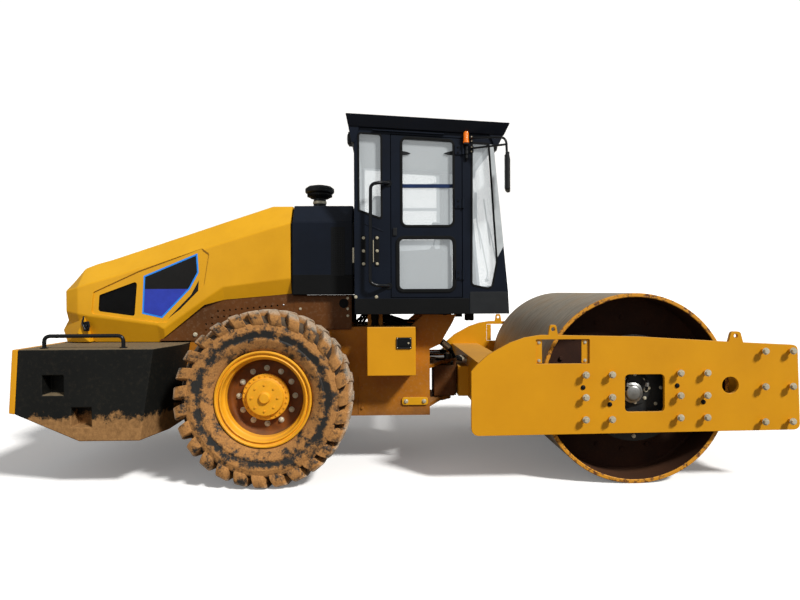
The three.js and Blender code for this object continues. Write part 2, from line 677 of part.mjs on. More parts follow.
const barrelRadius = 40;
const rodRadius = 22;
for (const [name, side] of Object.entries(sides)) {
  const from = new THREE.Vector3(cylinderPin[0], side * cylinderPin[1], steerZ);
  const to = new THREE.Vector3(steerEye[0], side * steerEye[1], steerZ);
  const along = to.clone().sub(from).normalize();
  const at = (distance) => from.clone().addScaledVector(along, distance).toArray();
  const reach = from.distanceTo(to);
  const barrelEnd = 405;
  const eye = (point, half, radius) => bar(
    [point.x, point.y, steerZ - half], [point.x, point.y, steerZ + half], radius, 20);
  const barrel = cut(
    join(bar(at(45), at(barrelEnd), barrelRadius, 20), bar(at(0), at(50), 26, 12), eye(from, 26, 38)),
    eye(from, 60, smallPinRadius + pinClearance),
    bar(at(70), at(barrelEnd + 10), rodRadius + pinClearance, 20));
  addPart(`steering_cylinder_${name}`, barrel, finishes.dark());
  const rod = join(bar(at(250), at(reach), rodRadius, 20), eye(to, steerZ - armTop - seatGap, 38));
  addPart(`steering_rod_${name}`, rod, finishes.chrome());
}

// ----------------------------------------------------------------------------------- front frame

const plateInner = plateHalfWidth - plateThickness;
const drumX = wheelbase;
const drumZ = drumRadius;
const beamEnd = plateInner - seatGap;

// Rear crossbeam with the tongue that turns on the oscillation shaft.
const rearBeam = [drumX - 1225, drumX - 880];            // rear and front faces of each crossbeam
const frontBeam = [drumX + 910, drumX + 1235];
function rearCrossbeam() {
  const [rear, front] = rearBeam;
  const beam = sheetXZ([
    [rear, 560], [rear + 105, 500], [front - 40, 500, 30], [front, 640], [front, 800],
    [front - 40, 950, 30], [rear, 950],
  ], wide(beamEnd));
  const tongue = box([tongueRear, rear + 1], wide(210), [hitchZ - 140, hitchZ + 140]);
  const bore = bar([tongueRear - 10, 0, hitchZ], [tongueRear + 100, 0, hitchZ],
    shaftRadius + pinClearance, 32);
  return cut(join(beam, tongue), bore);
}
addPart('rear_crossbeam', rearCrossbeam(), finishes.yellow());

addPart('front_crossbeam', sheetXZ([
  [frontBeam[0], 560], [frontBeam[0] + 50, 500], [frontBeam[1], 500, 30], [frontBeam[1], 1030, 30],
  [frontBeam[0] + 50, 1030], [frontBeam[0], 980],
], wide(beamEnd)), finishes.yellow());

// Side plates, with the studs that hold the crossbeams and the drum's supports.
const rearPads = [265 - drumRadius, -175];               // the drum supports' pads, from the drum's axle
const frontPads = [248, drumRadius - 185];
const studRows = [
  [rearPads[0] + 58, [894, 718, 544]], [rearPads[1] - 60, [894, 718, 544]],
  [frontPads[0] + 58, [902, 726, 552]], [frontPads[1] - 61, [902, 726, 552]],
  [981, [1069, 790, 513]], [1201, [1069, 790, 513]],
];                                                       // [distance ahead of the drum's axle, heights]
function sidePlate(side) {
  const edge = [
    [plateRear, plateBottom, 55], [drumX, plateBottom + 3], [plateFront, plateBottom + 24, 45],
    [plateFront - 24, plateNoseTop - 2, 40], [drumX + 474, 1155], [drumX - 12, 1188],
    [drumX - 781, plateTop], [plateRear + 423, plateTop - 19], [plateRear + 305, plateTop - 60],
    [plateRear + 138, plateTop - 150], [plateRear + 45, plateTop - 231], [plateRear, plateTop - 281],
  ];
  const outer = plateHalfWidth;
  const plate = sheetXZ(edge, across(side, plateInner, outer));
  const through = across(side, plateInner - 10, outer + 10);
  const window = ([x0, x1], [z0, z1], corner) => sheetXZ(
    [[x0, z0, corner], [x1, z0, corner], [x1, z1, corner], [x0, z1, corner]], through);
  const holes = [
    window([drumX - 824, drumX - 399], [978, 1170], 8),
    window([drumX - 119, drumX + 197], [593, 890], 32),
    bar([drumX + 724, through[0], 798], [drumX + 724, through[1], 798], 67, 24),
  ];
  const studs = studRows.flatMap(([ahead, heights]) => heights.map((z) =>
    bar([drumX + ahead, side * (outer - 5), z], [drumX + ahead, side * (outer + 62), z], 18, 6)));
  const eyePlate = (x, foot, width) => cut(
    sheetXZ([
      [x - width, foot], [x + width, foot], [x + width * 0.6, foot + 95, width * 0.4],
      [x - width * 0.6, foot + 95, width * 0.4],
    ], across(side, plateInner, outer)),
    bar([x, through[0], foot + 60], [x, through[1], foot + 60], 16, 12));
  const eyes = [eyePlate(drumX + 767, 1128, 62), eyePlate(drumX - 688, 1190, 40)];
  return cut(join(plate, studs, eyes), holes);
}
for (const [name, side] of Object.entries(sides)) {
  addPart(`side_plate_${name}`, sidePlate(side), finishes.yellow());
}

// Drum supports: pads on the side plates carry a disc whose hub turns in the drum's end disc.
const drumHubRadius = 150;
const hubEnd = drumWidth / 2 - drumDiscInset - drumDiscThickness / 2;
const supportNear = drumWidth / 2 - 59;                   // inner face of the support's disc
const supportFar = supportNear + 26;
function drumSupport(side) {
  const padY = across(side, supportFar - 2, beamEnd);
  const ahead = (reach) => reach.map((x) => drumX + x);
  const pads = [rearPads, frontPads].map((reach) =>
    box(ahead(reach), padY, [drumZ - 285, drumZ + 195]));
  const disc = bar([drumX, side * supportNear, drumZ], [drumX, side * supportFar, drumZ], 430, 32);
  const web = box(ahead([rearPads[0], frontPads[1]]), across(side, supportNear, supportFar),
    [drumZ - 165, drumZ + 115]);
  const hub = bar([drumX, side * hubEnd, drumZ], [drumX, side * (supportNear + 2), drumZ],
    drumHubRadius - pinClearance, 32);
  return join(pads, disc, web, hub);
}
for (const [name, side] of Object.entries(sides)) {
  addPart(`drum_support_${name}`, drumSupport(side), finishes.black());
}

function drum() {
  const half = drumWidth / 2;
  const bore = drumRadius - drumShell;
  const outerDisc = half - drumDiscInset;
  const innerDisc = outerDisc - drumDiscThickness;
  return turned([
    [drumRadius, -half], [drumRadius, half], [bore, half], [bore, outerDisc], [drumHubRadius, outerDisc],
    [drumHubRadius, innerDisc], [bore, innerDisc], [bore, -innerDisc], [drumHubRadius, -innerDisc],
    [drumHubRadius, -outerDisc], [bore, -outerDisc], [bore, -half],
  ], [drumX, drumZ], drumSegments);
}
addPart('drum', drum(), finishes.steel());

// Scrapers: flat bars close to the drum, on brackets from the crossbeams.
const scraperGap = 15;
const scraperZ = 640;
for (const [name, end, seat] of [['rear', -1, rearBeam[1]], ['front', 1, frontBeam[0]]]) {
  const reach = Math.sqrt((drumRadius + scraperGap) ** 2 - (drumZ - scraperZ) ** 2);
  const edgeX = drumX + end * reach;
  const x = [edgeX, seat - end * seatGap].sort((a, b) => a - b);
  addPart(`scraper_${name}`, join(
    box(x, wide(1000), [scraperZ - 8, scraperZ + 8]),
    box([x[0] + 15, x[1]], wide(60), [scraperZ - 40, scraperZ])), finishes.black());
}

export default roller;
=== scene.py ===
import math

import bmesh
import bpy
from mathutils import Matrix, Vector


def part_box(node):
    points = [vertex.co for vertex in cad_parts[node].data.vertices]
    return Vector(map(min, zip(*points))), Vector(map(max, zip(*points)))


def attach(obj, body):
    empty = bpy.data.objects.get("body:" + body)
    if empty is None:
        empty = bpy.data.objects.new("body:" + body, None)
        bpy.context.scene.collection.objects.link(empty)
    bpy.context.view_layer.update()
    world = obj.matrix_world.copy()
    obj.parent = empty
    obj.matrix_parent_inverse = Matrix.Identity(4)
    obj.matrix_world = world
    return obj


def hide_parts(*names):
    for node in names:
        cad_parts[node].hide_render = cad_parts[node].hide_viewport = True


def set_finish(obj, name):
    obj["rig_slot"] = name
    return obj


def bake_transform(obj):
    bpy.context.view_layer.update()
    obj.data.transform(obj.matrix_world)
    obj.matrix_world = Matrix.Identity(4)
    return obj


bl_info = {
    "name": "Road Roller Looks",
    "version": (1, 0, 0),
    "blender": (4, 5, 0),
    "location": "3D View > Sidebar > Roller",
    "description": "Builds the visible pieces and finishes of a single-drum road roller round its frame",
    "category": "Object",
}

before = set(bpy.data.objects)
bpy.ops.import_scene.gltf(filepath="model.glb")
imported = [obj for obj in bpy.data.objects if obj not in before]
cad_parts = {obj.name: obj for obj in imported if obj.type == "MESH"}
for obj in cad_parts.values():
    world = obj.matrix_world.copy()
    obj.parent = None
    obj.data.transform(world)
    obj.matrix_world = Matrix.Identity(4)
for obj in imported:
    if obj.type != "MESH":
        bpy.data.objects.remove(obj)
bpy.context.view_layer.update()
SIDES = {"left": 1, "right": -1}


# ---------------------------------------------------------------- places, from the frame

def middle(node):
    """The centre of a frame node's box."""
    low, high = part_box(node)
    return (low + high) / 2


AXLE = middle("tyre_left")
AXLE_X, AXLE_Y, AXLE_Z = AXLE
TYRE_RADIUS = (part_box("tyre_left")[1].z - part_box("tyre_left")[0].z) / 2
DRUM_X, DRUM_Z = middle("drum").x, middle("drum").z
DRUM_RADIUS = (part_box("drum")[1].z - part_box("drum")[0].z) / 2
DRUM_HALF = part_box("drum")[1].y
PLATE_OUTER = 1.150                       # outer face of a side plate, from the middle plane
PLATE_INNER = 1.120
WEIGHT_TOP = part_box("rear_plate")[1].z
WEIGHT_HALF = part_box("rear_plate")[1].y
HOOD_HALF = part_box("hood")[1].y
COVER_LOW, COVER_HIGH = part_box("engine_cover")
CAB_HALF = 0.760                          # outer face of the cab's side walls and doors
CAB_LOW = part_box("cab_frame")[0]
RAIL_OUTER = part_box("engine_skirt_left")[0].y


def ahead(x):
    """A distance ahead of the rear axle, as a place in the frame."""
    return AXLE_X + x


def points_at(points):
    """Outline points given as (ahead of the rear axle, height), moved to the frame."""
    return [(ahead(point[0]), *point[1:]) for point in points]


# ---------------------------------------------------------------- shapes

AXES = {"X": Vector((1, 0, 0)), "Y": Vector((0, 1, 0)), "Z": Vector((0, 0, 1))}


def span(a, b):
    return (min(a, b), max(a, b))


def round_edges(bm, edges, width, segments=2):
    """Rounds the given edges."""
    if edges and width:
        bmesh.ops.bevel(bm, geom=edges, affect="EDGES", offset=width, offset_type="OFFSET",
                        segments=segments, profile=0.5, material=-1, clamp_overlap=True)
    return bm


def sharp_edges(bm, angle=30):
    return [e for e in bm.edges if e.is_manifold and e.calc_face_angle(0) > math.radians(angle)]


def block(x, y, z, bevel=0.004, segments=2):
    """A box between three ranges, its edges rounded."""
    bm = bmesh.new()
    bmesh.ops.create_cube(bm, size=1)
    ranges = (span(*x), span(*y), span(*z))
    bmesh.ops.scale(bm, vec=[b - a for a, b in ranges], verts=bm.verts)
    bmesh.ops.translate(bm, vec=[(a + b) / 2 for a, b in ranges], verts=bm.verts)
    return round_edges(bm, bm.edges[:], bevel, segments)


def rounded(points, steps=6):
    """An outline whose points may carry a corner radius as their third number."""
    flat = []
    for i, (a, b, *radius) in enumerate(points):
        corner = Vector((a, b))
        if not radius:
            flat.append(corner)
            continue
        before = (Vector(points[i - 1][:2]) - corner).normalized()
        after = (Vector(points[(i + 1) % len(points)][:2]) - corner).normalized()
        half = before.angle(after) / 2
        centre = corner + (before + after).normalized() * radius[0] / math.sin(half)
        start = corner + before * radius[0] / math.tan(half) - centre
        end = corner + after * radius[0] / math.tan(half) - centre
        turn = math.atan2(start.cross(end), start.dot(end))
        for step in range(steps + 1):
            flat.append(centre + Matrix.Rotation(turn * step / steps, 2) @ start)
    return flat


def on_plane(point, axis, depth):
    """A flat point as a point in space, on the plane across the axis."""
    a, b = point
    return {"X": (depth, a, b), "Y": (a, depth, b), "Z": (a, b, depth)}[axis]


def prism(points, axis, depths, holes=(), bevel=0.0, segments=2, steps=6):
    """An outline, with any holes, made as thick as the range along the axis."""
    bm = bmesh.new()
    near, far = span(*depths)
    loops = [rounded(points, steps), *(rounded(hole, steps) for hole in holes)]
    edges = []
    for loop in loops:
        verts = [bm.verts.new(on_plane(p, axis, near)) for p in loop]
        edges += [bm.edges.new((a, b)) for a, b in zip(verts, verts[1:] + verts[:1])]
    if holes:
        bmesh.ops.triangle_fill(bm, edges=edges, use_beauty=True)
    else:
        bmesh.ops.contextual_create(bm, geom=edges)
    made = bmesh.ops.extrude_face_region(bm, geom=bm.faces[:])
    verts = [v for v in made["geom"] if isinstance(v, bmesh.types.BMVert)]
    bmesh.ops.translate(bm, vec=AXES[axis] * (far - near), verts=verts)
    bmesh.ops.recalc_face_normals(bm, faces=bm.faces)
    return round_edges(bm, sharp_edges(bm, 40), bevel, segments)


def lathe(profile, centre, axis="Y", steps=64):
    """A closed profile of (radius, along) points turned about a line through the centre."""
    bm = bmesh.new()
    across = {"X": Vector((0, 0, 1)), "Y": Vector((0, 0, 1)), "Z": Vector((1, 0, 0))}[axis]
    centre = Vector(centre)
    verts = [bm.verts.new(centre + across * r + AXES[axis] * s) for r, s in profile]
    edges = [bm.edges.new(pair) for pair in zip(verts, verts[1:])]
    if profile[0][0] > 1e-6 or profile[-1][0] > 1e-6:
        edges.append(bm.edges.new((verts[-1], verts[0])))
    bmesh.ops.spin(bm, geom=verts + edges, cent=centre, axis=AXES[axis], dvec=(0, 0, 0),
                   angle=2 * math.pi, steps=steps, use_merge=True)
    bmesh.ops.remove_doubles(bm, verts=bm.verts, dist=1e-5)
    bmesh.ops.recalc_face_normals(bm, faces=bm.faces)
    return bm


def turned_to(bm, at, toward):
    """Moves a shape drawn along +Z from the origin to a place, pointing another way."""
    turn = Vector(toward).to_track_quat("Z", "Y").to_matrix().to_4x4()
    bmesh.ops.transform(bm, matrix=Matrix.Translation(Vector(at)) @ turn, verts=bm.verts)
    return bm


def rod(start, end, radius, segments=24, bevel=0.0015):
    """A round bar between two points, its ends eased."""
    start, end = Vector(start), Vector(end)
    bm = bmesh.new()
    length = (end - start).length
    bmesh.ops.create_cone(bm, cap_ends=True, segments=segments, radius1=radius, radius2=radius, depth=length)
    bmesh.ops.translate(bm, vec=(0, 0, length / 2), verts=bm.verts)
    round_edges(bm, sharp_edges(bm, 60), bevel, 1)
    return turned_to(bm, start, end - start)


def hex_bolt(at, toward, size=0.010, washer=True):
    """A hexagon head on its washer; size is the head's radius across its corners."""
    bm = bmesh.new()
    bmesh.ops.create_cone(bm, cap_ends=True, segments=6, radius1=size, radius2=size, depth=size * 0.7)
    bmesh.ops.translate(bm, vec=(0, 0, size * 0.55), verts=bm.verts)
    round_edges(bm, [e for e in bm.edges if all(v.co.z > size * 0.8 for v in e.verts)], size * 0.12, 1)
    if washer:
        bmesh.ops.create_cone(bm, cap_ends=True, segments=16, radius1=size * 1.3, radius2=size * 1.3,
                              depth=size * 0.2)
    return turned_to(bm, at, toward)


def dome(at, toward, radius, height):
    """A shallow round cap."""
    bm = bmesh.new()
    bmesh.ops.create_uvsphere(bm, u_segments=16, v_segments=8, radius=radius)
    bmesh.ops.scale(bm, vec=(1, 1, height / radius), verts=bm.verts)
    return turned_to(bm, at, toward)


def pipe(points, radius, bend=0.0, sides=12, smooth=False):
    """A round tube or hose that follows points; bend is the radius at its corners."""
    path = [Vector(p) for p in points]
    curve = bpy.data.curves.new("path", "CURVE")
    curve.dimensions = "3D"
    curve.bevel_depth = radius
    curve.bevel_resolution = max(1, sides // 4 - 1)
    curve.use_fill_caps = True
    if smooth:
        spline = curve.splines.new("NURBS")
        spline.order_u, spline.use_endpoint_u, spline.resolution_u = 4, True, 6
        line = path
    else:
        spline = curve.splines.new("POLY")
        line = [path[0]]
        for before, corner, after in zip(path, path[1:], path[2:]):
            reach = min(bend, (before - corner).length / 2, (after - corner).length / 2)
            enter = corner + (before - corner).normalized() * reach
            leave = corner + (after - corner).normalized() * reach
            line += [enter.lerp(corner, t).lerp(corner.lerp(leave, t), t) for t in (0, 0.2, 0.4, 0.6, 0.8, 1)]
        line.append(path[-1])
    spline.points.add(len(line) - 1)
    for place, point in zip(spline.points, line):
        place.co = (*point, 1)
    holder = bpy.data.objects.new("path", curve)
    mesh = bpy.data.meshes.new_from_object(holder)
    bm = bmesh.new()
    bm.from_mesh(mesh)
    bpy.data.objects.remove(holder)
    bpy.data.curves.remove(curve)
    bpy.data.meshes.remove(mesh)
    bmesh.ops.remove_doubles(bm, verts=bm.verts, dist=1e-5)
    bmesh.ops.recalc_face_normals(bm, faces=bm.faces)
    return bm


def closed(bm):
    """Closes the holes that trimming left, and points the faces outwards."""
    bmesh.ops.holes_fill(bm, edges=[e for e in bm.edges if e.is_boundary], sides=0)
    bmesh.ops.recalc_face_normals(bm, faces=bm.faces)
    return bm


def refined(node, bevel=0.003, keep=None, segments=2, angle=32):
    """A frame node's shape with flat faces made whole and its edges rounded. keep(point) says
    which corners stay, so that bolts and lamps can be taken off and made again finer."""
    bm = bmesh.new()
    bm.from_mesh(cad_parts[node].data)
    bmesh.ops.remove_doubles(bm, verts=bm.verts, dist=2e-5)
    if keep:
        bmesh.ops.delete(bm, geom=[v for v in bm.verts if not keep(v.co)], context="VERTS")
        loose = [v for v in bm.verts if not v.link_faces]
        bmesh.ops.delete(bm, geom=loose, context="VERTS")
        closed(bm)
    bmesh.ops.dissolve_limit(bm, angle_limit=math.radians(1), verts=bm.verts, edges=bm.edges)
    return round_edges(bm, sharp_edges(bm, angle), bevel, segments)


def round_copies(bm, count, centre, axis="Y"):
    """Repeats a shape evenly round a line."""
    bmesh.ops.spin(bm, geom=bm.verts[:] + bm.edges[:] + bm.faces[:], cent=centre, axis=AXES[axis], dvec=(0, 0, 0),
                   angle=2 * math.pi * (count - 1) / count, steps=count - 1, use_duplicate=True)
    return bm


def row_copies(bm, count, step):
    """Repeats a shape along a line."""
    source = bm.verts[:] + bm.edges[:] + bm.faces[:]
    for i in range(1, count):
        made = bmesh.ops.duplicate(bm, geom=source)["geom"]
        bmesh.ops.translate(bm, vec=Vector(step) * i, verts=[v for v in made if isinstance(v, bmesh.types.BMVert)])
    return bm


def piece(name, parts, body, slot, replaces=(), smooth=40):
    """Joins (shape, finish) parts into one named object that rides on a body, if one is given. A part
    may go on with (finish, test) pairs, for the faces that the test picks."""
    joined = bmesh.new()
    finishes = []
    for bm, *wanted in parts:
        for finish, chosen in [(wanted[0], None), *wanted[1:]]:
            if finish not in finishes:
                finishes.append(finish)
            for face in bm.faces:
                if chosen is None or chosen(face):
                    face.material_index = finishes.index(finish)
        part = bpy.data.meshes.new("part")
        bm.to_mesh(part)
        bm.free()
        joined.from_mesh(part)
        bpy.data.meshes.remove(part)
    mesh = bpy.data.meshes.new(name)
    joined.to_mesh(mesh)
    joined.free()
    for finish in finishes:
        mesh.materials.append(surface(finish))
    mesh.shade_smooth()
    mesh.set_sharp_from_angle(angle=math.radians(smooth))
    made = bpy.data.objects.new(name, mesh)
    bpy.context.scene.collection.objects.link(made)
    made.modifiers.new("Even shading", "WEIGHTED_NORMAL").keep_sharp = True
    if body:
        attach(made, body)
    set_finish(made, slot)
    if replaces:
        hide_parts(*replaces)
    return made


def carved(made, tool):
    """Cuts a closed shape out of a piece, for good."""
    mesh = bpy.data.meshes.new("cutter")
    tool.to_mesh(mesh)
    tool.free()
    cutter = bpy.data.objects.new("cutter", mesh)
    bpy.context.scene.collection.objects.link(cutter)
    cut = made.modifiers.new("Cut", "BOOLEAN")
    cut.operation, cut.solver, cut.object = "DIFFERENCE", "EXACT", cutter
    made.modifiers.remove(made.modifiers["Even shading"])
    graph = bpy.context.evaluated_depsgraph_get()
    graph.update()
    result = bpy.data.meshes.new_from_object(made.evaluated_get(graph))
    made.modifiers.clear()
    result.shade_smooth()
    result.set_sharp_from_angle(angle=math.radians(30))
    made.data = result
    made.modifiers.new("Even shading", "WEIGHTED_NORMAL").keep_sharp = True
    bpy.data.objects.remove(cutter)
    bpy.data.meshes.remove(mesh)
    return made


def panel_on(side, face, outline, low, high, bevel=0.0, **more):
    """A thin panel on a side face, between two distances out from it; its outline is given ahead of the axle."""
    return prism(points_at(outline), "Y", (face + side * low, face + side * high), bevel=bevel, **more)


def bolts_on(side, face, size, places, finish="zinc", washer=True):
    """Bolts on a side face, at places given as (ahead of the axle, height)."""
    for x, z in places:
        yield hex_bolt((ahead(x), face, z), (0, side, 0), size, washer), finish


def both_ways(half):
    """A lathe profile from its half on one side of the middle."""
    return half + [(r, -s) for r, s in reversed(half)]


# ---------------------------------------------------------------- finishes

FINISHES = {}


def hexed(code, alpha=1.0):
    """An sRGB hex value as a linear colour."""
    parts = [int(code[i:i + 2], 16) / 255 for i in (0, 2, 4)]
    return [*(c / 12.92 if c <= 0.04045 else ((c + 0.055) / 1.055) ** 2.4 for c in parts), alpha]


def add(tree, kind, links=None, out=0, **settings):
    """Adds a shader node with its settings and gives back one of its outputs; links gives each input
    a value, a hex colour or another node's output."""
    made = tree.nodes.new("ShaderNode" + kind)
    for key, value in settings.items():
        setattr(made, key, value)
    for socket, value in (links or {}).items():
        if isinstance(value, bpy.types.NodeSocket):
            tree.links.new(value, made.inputs[socket])
        else:
            made.inputs[socket].default_value = hexed(value) if isinstance(value, str) else value
    return made.outputs[out]


def started(name, **values):
    """A new material with its shader's constant values set, its node tree and its object coordinates."""
    made = bpy.data.materials.new(name)
    made.use_nodes = True
    shader = made.node_tree.nodes["Principled BSDF"]
    for socket, value in values.items():
        shader.inputs[socket.replace("_", " ")].default_value = value
    return made, made.node_tree, add(made.node_tree, "TexCoord", out="Object")


def finished(made, relief=None, inverted=False, **links):
    """Joins outputs to a material's shader by socket name; relief is (height, strength, depth in metres)."""
    tree = made.node_tree
    if relief:
        height, strength, depth = relief
        links["Normal"] = add(tree, "Bump", {"Strength": strength, "Distance": depth, "Height": height},
                              invert=inverted)
    for socket, value in links.items():
        tree.links.new(value, tree.nodes["Principled BSDF"].inputs[socket.replace("_", " ")])
    return made


def weathered(name, base, worn, rough=0.4, metallic=0.0, broad=2.5, dust=0.25, mud=None, grain=(250, 0.0004),
              splash=0.0, coat=0.0, gleam=0.3, dust_colour="b9a387", mud_colour="93643a"):
    """A coating whose tone drifts over a stretch of 1/broad metres, with dust on what faces up (in a pale colour also
    a painted highlight on the tops), dried mud below a height and a fine grain of 1/grain[0] metres."""
    made, tree, spots = started(name, Metallic=metallic, Coat_Weight=coat, Coat_Roughness=0.25,
                                Specular_IOR_Level=0.5 if metallic else gleam)
    drift = add(tree, "TexNoise", {"Vector": spots, "Scale": broad, "Detail": 6.0, "Roughness": 0.6}, out="Fac")
    fine = add(tree, "TexNoise", {"Vector": spots, "Scale": broad * 14, "Detail": 5.0, "Roughness": 0.7}, out="Fac")
    share = add(tree, "MapRange", {0: drift, 1: 0.35, 2: 0.7})
    tone = add(tree, "Mix", {0: share, 6: base, 7: worn}, data_type="RGBA", out=2)
    facing = add(tree, "SeparateXYZ", {0: spots.node.outputs["Normal"]}, out="Z")
    upward = add(tree, "MapRange", {0: facing, 1: 0.5, 2: 1.0})
    settled = add(tree, "MapRange", {0: fine, 1: 0.3, 2: 0.75, 3: dust * 0.4, 4: dust})
    film = add(tree, "Math", {0: upward, 1: settled}, operation="MULTIPLY")
    if splash:
        spatter = add(tree, "MapRange", {0: fine, 1: 0.52, 2: 0.68, 3: 0.0, 4: splash})
        film = add(tree, "Math", {0: film, 1: spatter}, operation="MAXIMUM")
    # The film on what faces up is dust; in a pale yellow it is also a painted highlight on the tops.
    tone = add(tree, "Mix", {0: film, 6: tone, 7: dust_colour}, data_type="RGBA", out=2)
    if mud:
        height = add(tree, "SeparateXYZ", {0: spots}, out="Z")
        ragged = add(tree, "TexNoise", {"Vector": spots, "Scale": 9.0, "Detail": 8.0, "Roughness": 0.75}, out="Fac")
        edge = add(tree, "Math", {0: ragged, 1: -0.34, 2: height}, operation="MULTIPLY_ADD")
        caked = add(tree, "MapRange", {0: edge, 1: mud[0] - 0.17, 2: mud[1] - 0.17, 3: 0.0, 4: 0.96})
        earth = add(tree, "Mix", {0: fine, 6: "452a14", 7: mud_colour}, data_type="RGBA", out=2)
        tone = add(tree, "Mix", {0: caked, 6: tone, 7: earth}, data_type="RGBA", out=2)
        film = add(tree, "Math", {0: film, 1: caked}, operation="MAXIMUM")
    dull = add(tree, "MapRange", {0: film, 3: rough, 4: 0.9})
    uneven = add(tree, "MapRange", {0: fine, 3: -0.06, 4: 0.06})
    gloss = add(tree, "Math", {0: dull, 1: uneven}, operation="ADD", use_clamp=True)
    skin = add(tree, "TexNoise", {"Vector": spots, "Scale": grain[0], "Detail": 3.0}, out="Fac")
    ridge = add(tree, "Math", {0: film, 1: fine, 2: skin}, operation="MULTIPLY_ADD")
    return finished(made, (ridge, 0.6, grain[1]), Base_Color=tone, Roughness=gloss)


def ring_enamel():
    """Yellow enamel on the drum's rims, chipped back to rust by stones."""
    made, tree, spots = started("yellow enamel, chipped", Roughness=0.55)
    coarse = add(tree, "TexNoise", {"Vector": spots, "Scale": 22.0, "Detail": 8.0, "Roughness": 0.75}, out="Fac")
    chips = add(tree, "MapRange", {0: coarse, 1: 0.52, 2: 0.58})
    rust = add(tree, "Mix", {0: coarse, 6: "2a1409", 7: "7a4519"}, data_type="RGBA", out=2)
    tone = add(tree, "Mix", {0: chips, 6: "d08d18", 7: rust}, data_type="RGBA", out=2)
    return finished(made, (chips, 0.7, 0.002), inverted=True, Base_Color=tone)


def rolled_steel():
    """Worn rolling surface: bare steel with earth rubbed into it, in streaks round the drum."""
    made, tree, spots = started("rolled steel, worn")
    streaked = add(tree, "Mapping", {"Vector": spots, "Scale": (2.2, 34.0, 2.2)})
    streaks = add(tree, "TexNoise", {"Vector": streaked, "Scale": 2.0, "Detail": 9.0, "Roughness": 0.72,
                                     "Distortion": 0.4}, out="Fac")
    stains = add(tree, "TexNoise", {"Vector": spots, "Scale": 3.2, "Detail": 7.0, "Roughness": 0.65}, out="Fac")
    share = add(tree, "MapRange", {0: streaks, 1: 0.34, 2: 0.68})
    steel = add(tree, "Mix", {0: share, 6: "79736a", 7: "cbc3b3"}, data_type="RGBA", out=2)
    earth = add(tree, "MapRange", {0: stains, 1: 0.45, 2: 0.72, 3: 0.08, 4: 0.6})
    tone = add(tree, "Mix", {0: earth, 6: steel, 7: "a48055"}, data_type="RGBA", out=2)
    bare = add(tree, "MapRange", {0: earth, 3: 0.35, 4: 0.05})
    dull = add(tree, "MapRange", {0: streaks, 3: 0.62, 4: 0.42})
    return finished(made, (streaks, 0.4, 0.0008), Base_Color=tone, Metallic=bare, Roughness=dull)


def tyre_rubber():
    """Vulcanised rubber: dried mud on the walls and between the lugs, worn pale on the lugs' faces."""
    made, tree, spots = started("tyre rubber, muddy")
    centred = add(tree, "Mapping", {"Vector": spots, "Location": (-AXLE_X, 0, -AXLE_Z)})
    flat = add(tree, "VectorMath", {0: centred, 1: (1, 0, 1)}, operation="MULTIPLY")
    radius = add(tree, "VectorMath", {0: flat}, operation="LENGTH", out="Value")
    mottled = add(tree, "TexNoise", {"Vector": spots, "Scale": 11.0, "Detail": 9.0, "Roughness": 0.75}, out="Fac")
    grit = add(tree, "TexNoise", {"Vector": spots, "Scale": 75.0, "Detail": 6.0, "Roughness": 0.7}, out="Fac")
    # One ring of the wall stays nearly bare, where the rubber flexes most.
    away = add(tree, "Math", {0: radius, 1: 0.510}, operation="SUBTRACT")
    away = add(tree, "Math", {0: away}, operation="ABSOLUTE")
    ring = add(tree, "MapRange", {0: away, 1: 0.0, 2: 0.045, 3: -0.17, 4: 0.0})
    bare = add(tree, "Math", {0: ring, 1: mottled}, operation="ADD")
    caked = add(tree, "MapRange", {0: bare, 1: 0.40, 2: 0.50})
    earth = add(tree, "Mix", {0: grit, 6: "553010", 7: "d89c58"}, data_type="RGBA", out=2)
    tone = add(tree, "Mix", {0: caked, 6: "1b1a18", 7: earth}, data_type="RGBA", out=2)
    crown = add(tree, "MapRange", {0: radius, 1: TYRE_RADIUS - 0.035, 2: TYRE_RADIUS - 0.006})
    scuffed = add(tree, "MapRange", {0: grit, 1: 0.35, 2: 0.6, 3: 0.15, 4: 0.85})
    worn = add(tree, "Math", {0: crown, 1: scuffed}, operation="MULTIPLY")
    tone = add(tree, "Mix", {0: worn, 6: tone, 7: "b8b0a0"}, data_type="RGBA", out=2)
    dull = add(tree, "MapRange", {0: caked, 3: 0.62, 4: 0.95})
    crust = add(tree, "Math", {0: caked, 1: 0.6, 2: grit}, operation="MULTIPLY_ADD")
    return finished(made, (crust, 0.8, 0.004), Base_Color=tone, Roughness=dull)


def plain(name, base, worn, rough, metallic=0.0, grain=(300, 0.0003), dust=0.1, **more):
    """A small part's finish: two close tones, a fine grain and little dust."""
    return weathered(name, base, worn, rough=rough, metallic=metallic, broad=12, dust=dust, grain=grain, **more)


def cab_glass():
    """Tempered glass with a dusty film: clear, with a pale veil that glows as a painted reflection of the daylight.
    """
    # The pale glow is a painted reflection.
    made, tree, spots = started("tempered glass, dusty, painted reflection", Roughness=0.06, IOR=1.52, Emission_Color=hexed("e6ecef"),
                                Emission_Strength=0.33)
    veil = add(tree, "TexNoise", {"Vector": spots, "Scale": 1.6, "Detail": 2.0}, out="Fac")
    tone = add(tree, "Mix", {0: veil, 6: "dde4e8", 7: "d5dcdf"}, data_type="RGBA", out=2)
    thick = add(tree, "MapRange", {0: veil, 1: 0.3, 2: 0.75, 3: 0.285, 4: 0.315})
    return finished(made, Base_Color=tone, Alpha=thick)


def lens(name, base, glow):
    """Moulded polycarbonate with fine ribs, slightly lit through."""
    made, tree, spots = started(name, Roughness=0.18, IOR=1.58, Transmission_Weight=0.25, Emission_Color=hexed(base),
                                Emission_Strength=glow)
    ribs = add(tree, "TexWave", {"Vector": spots, "Scale": 60.0}, bands_direction="Z", out="Fac")
    tone = add(tree, "Mix", {0: ribs, 6: base, 7: base}, data_type="RGBA", out=2)
    return finished(made, (ribs, 0.5, 0.001), Base_Color=tone)


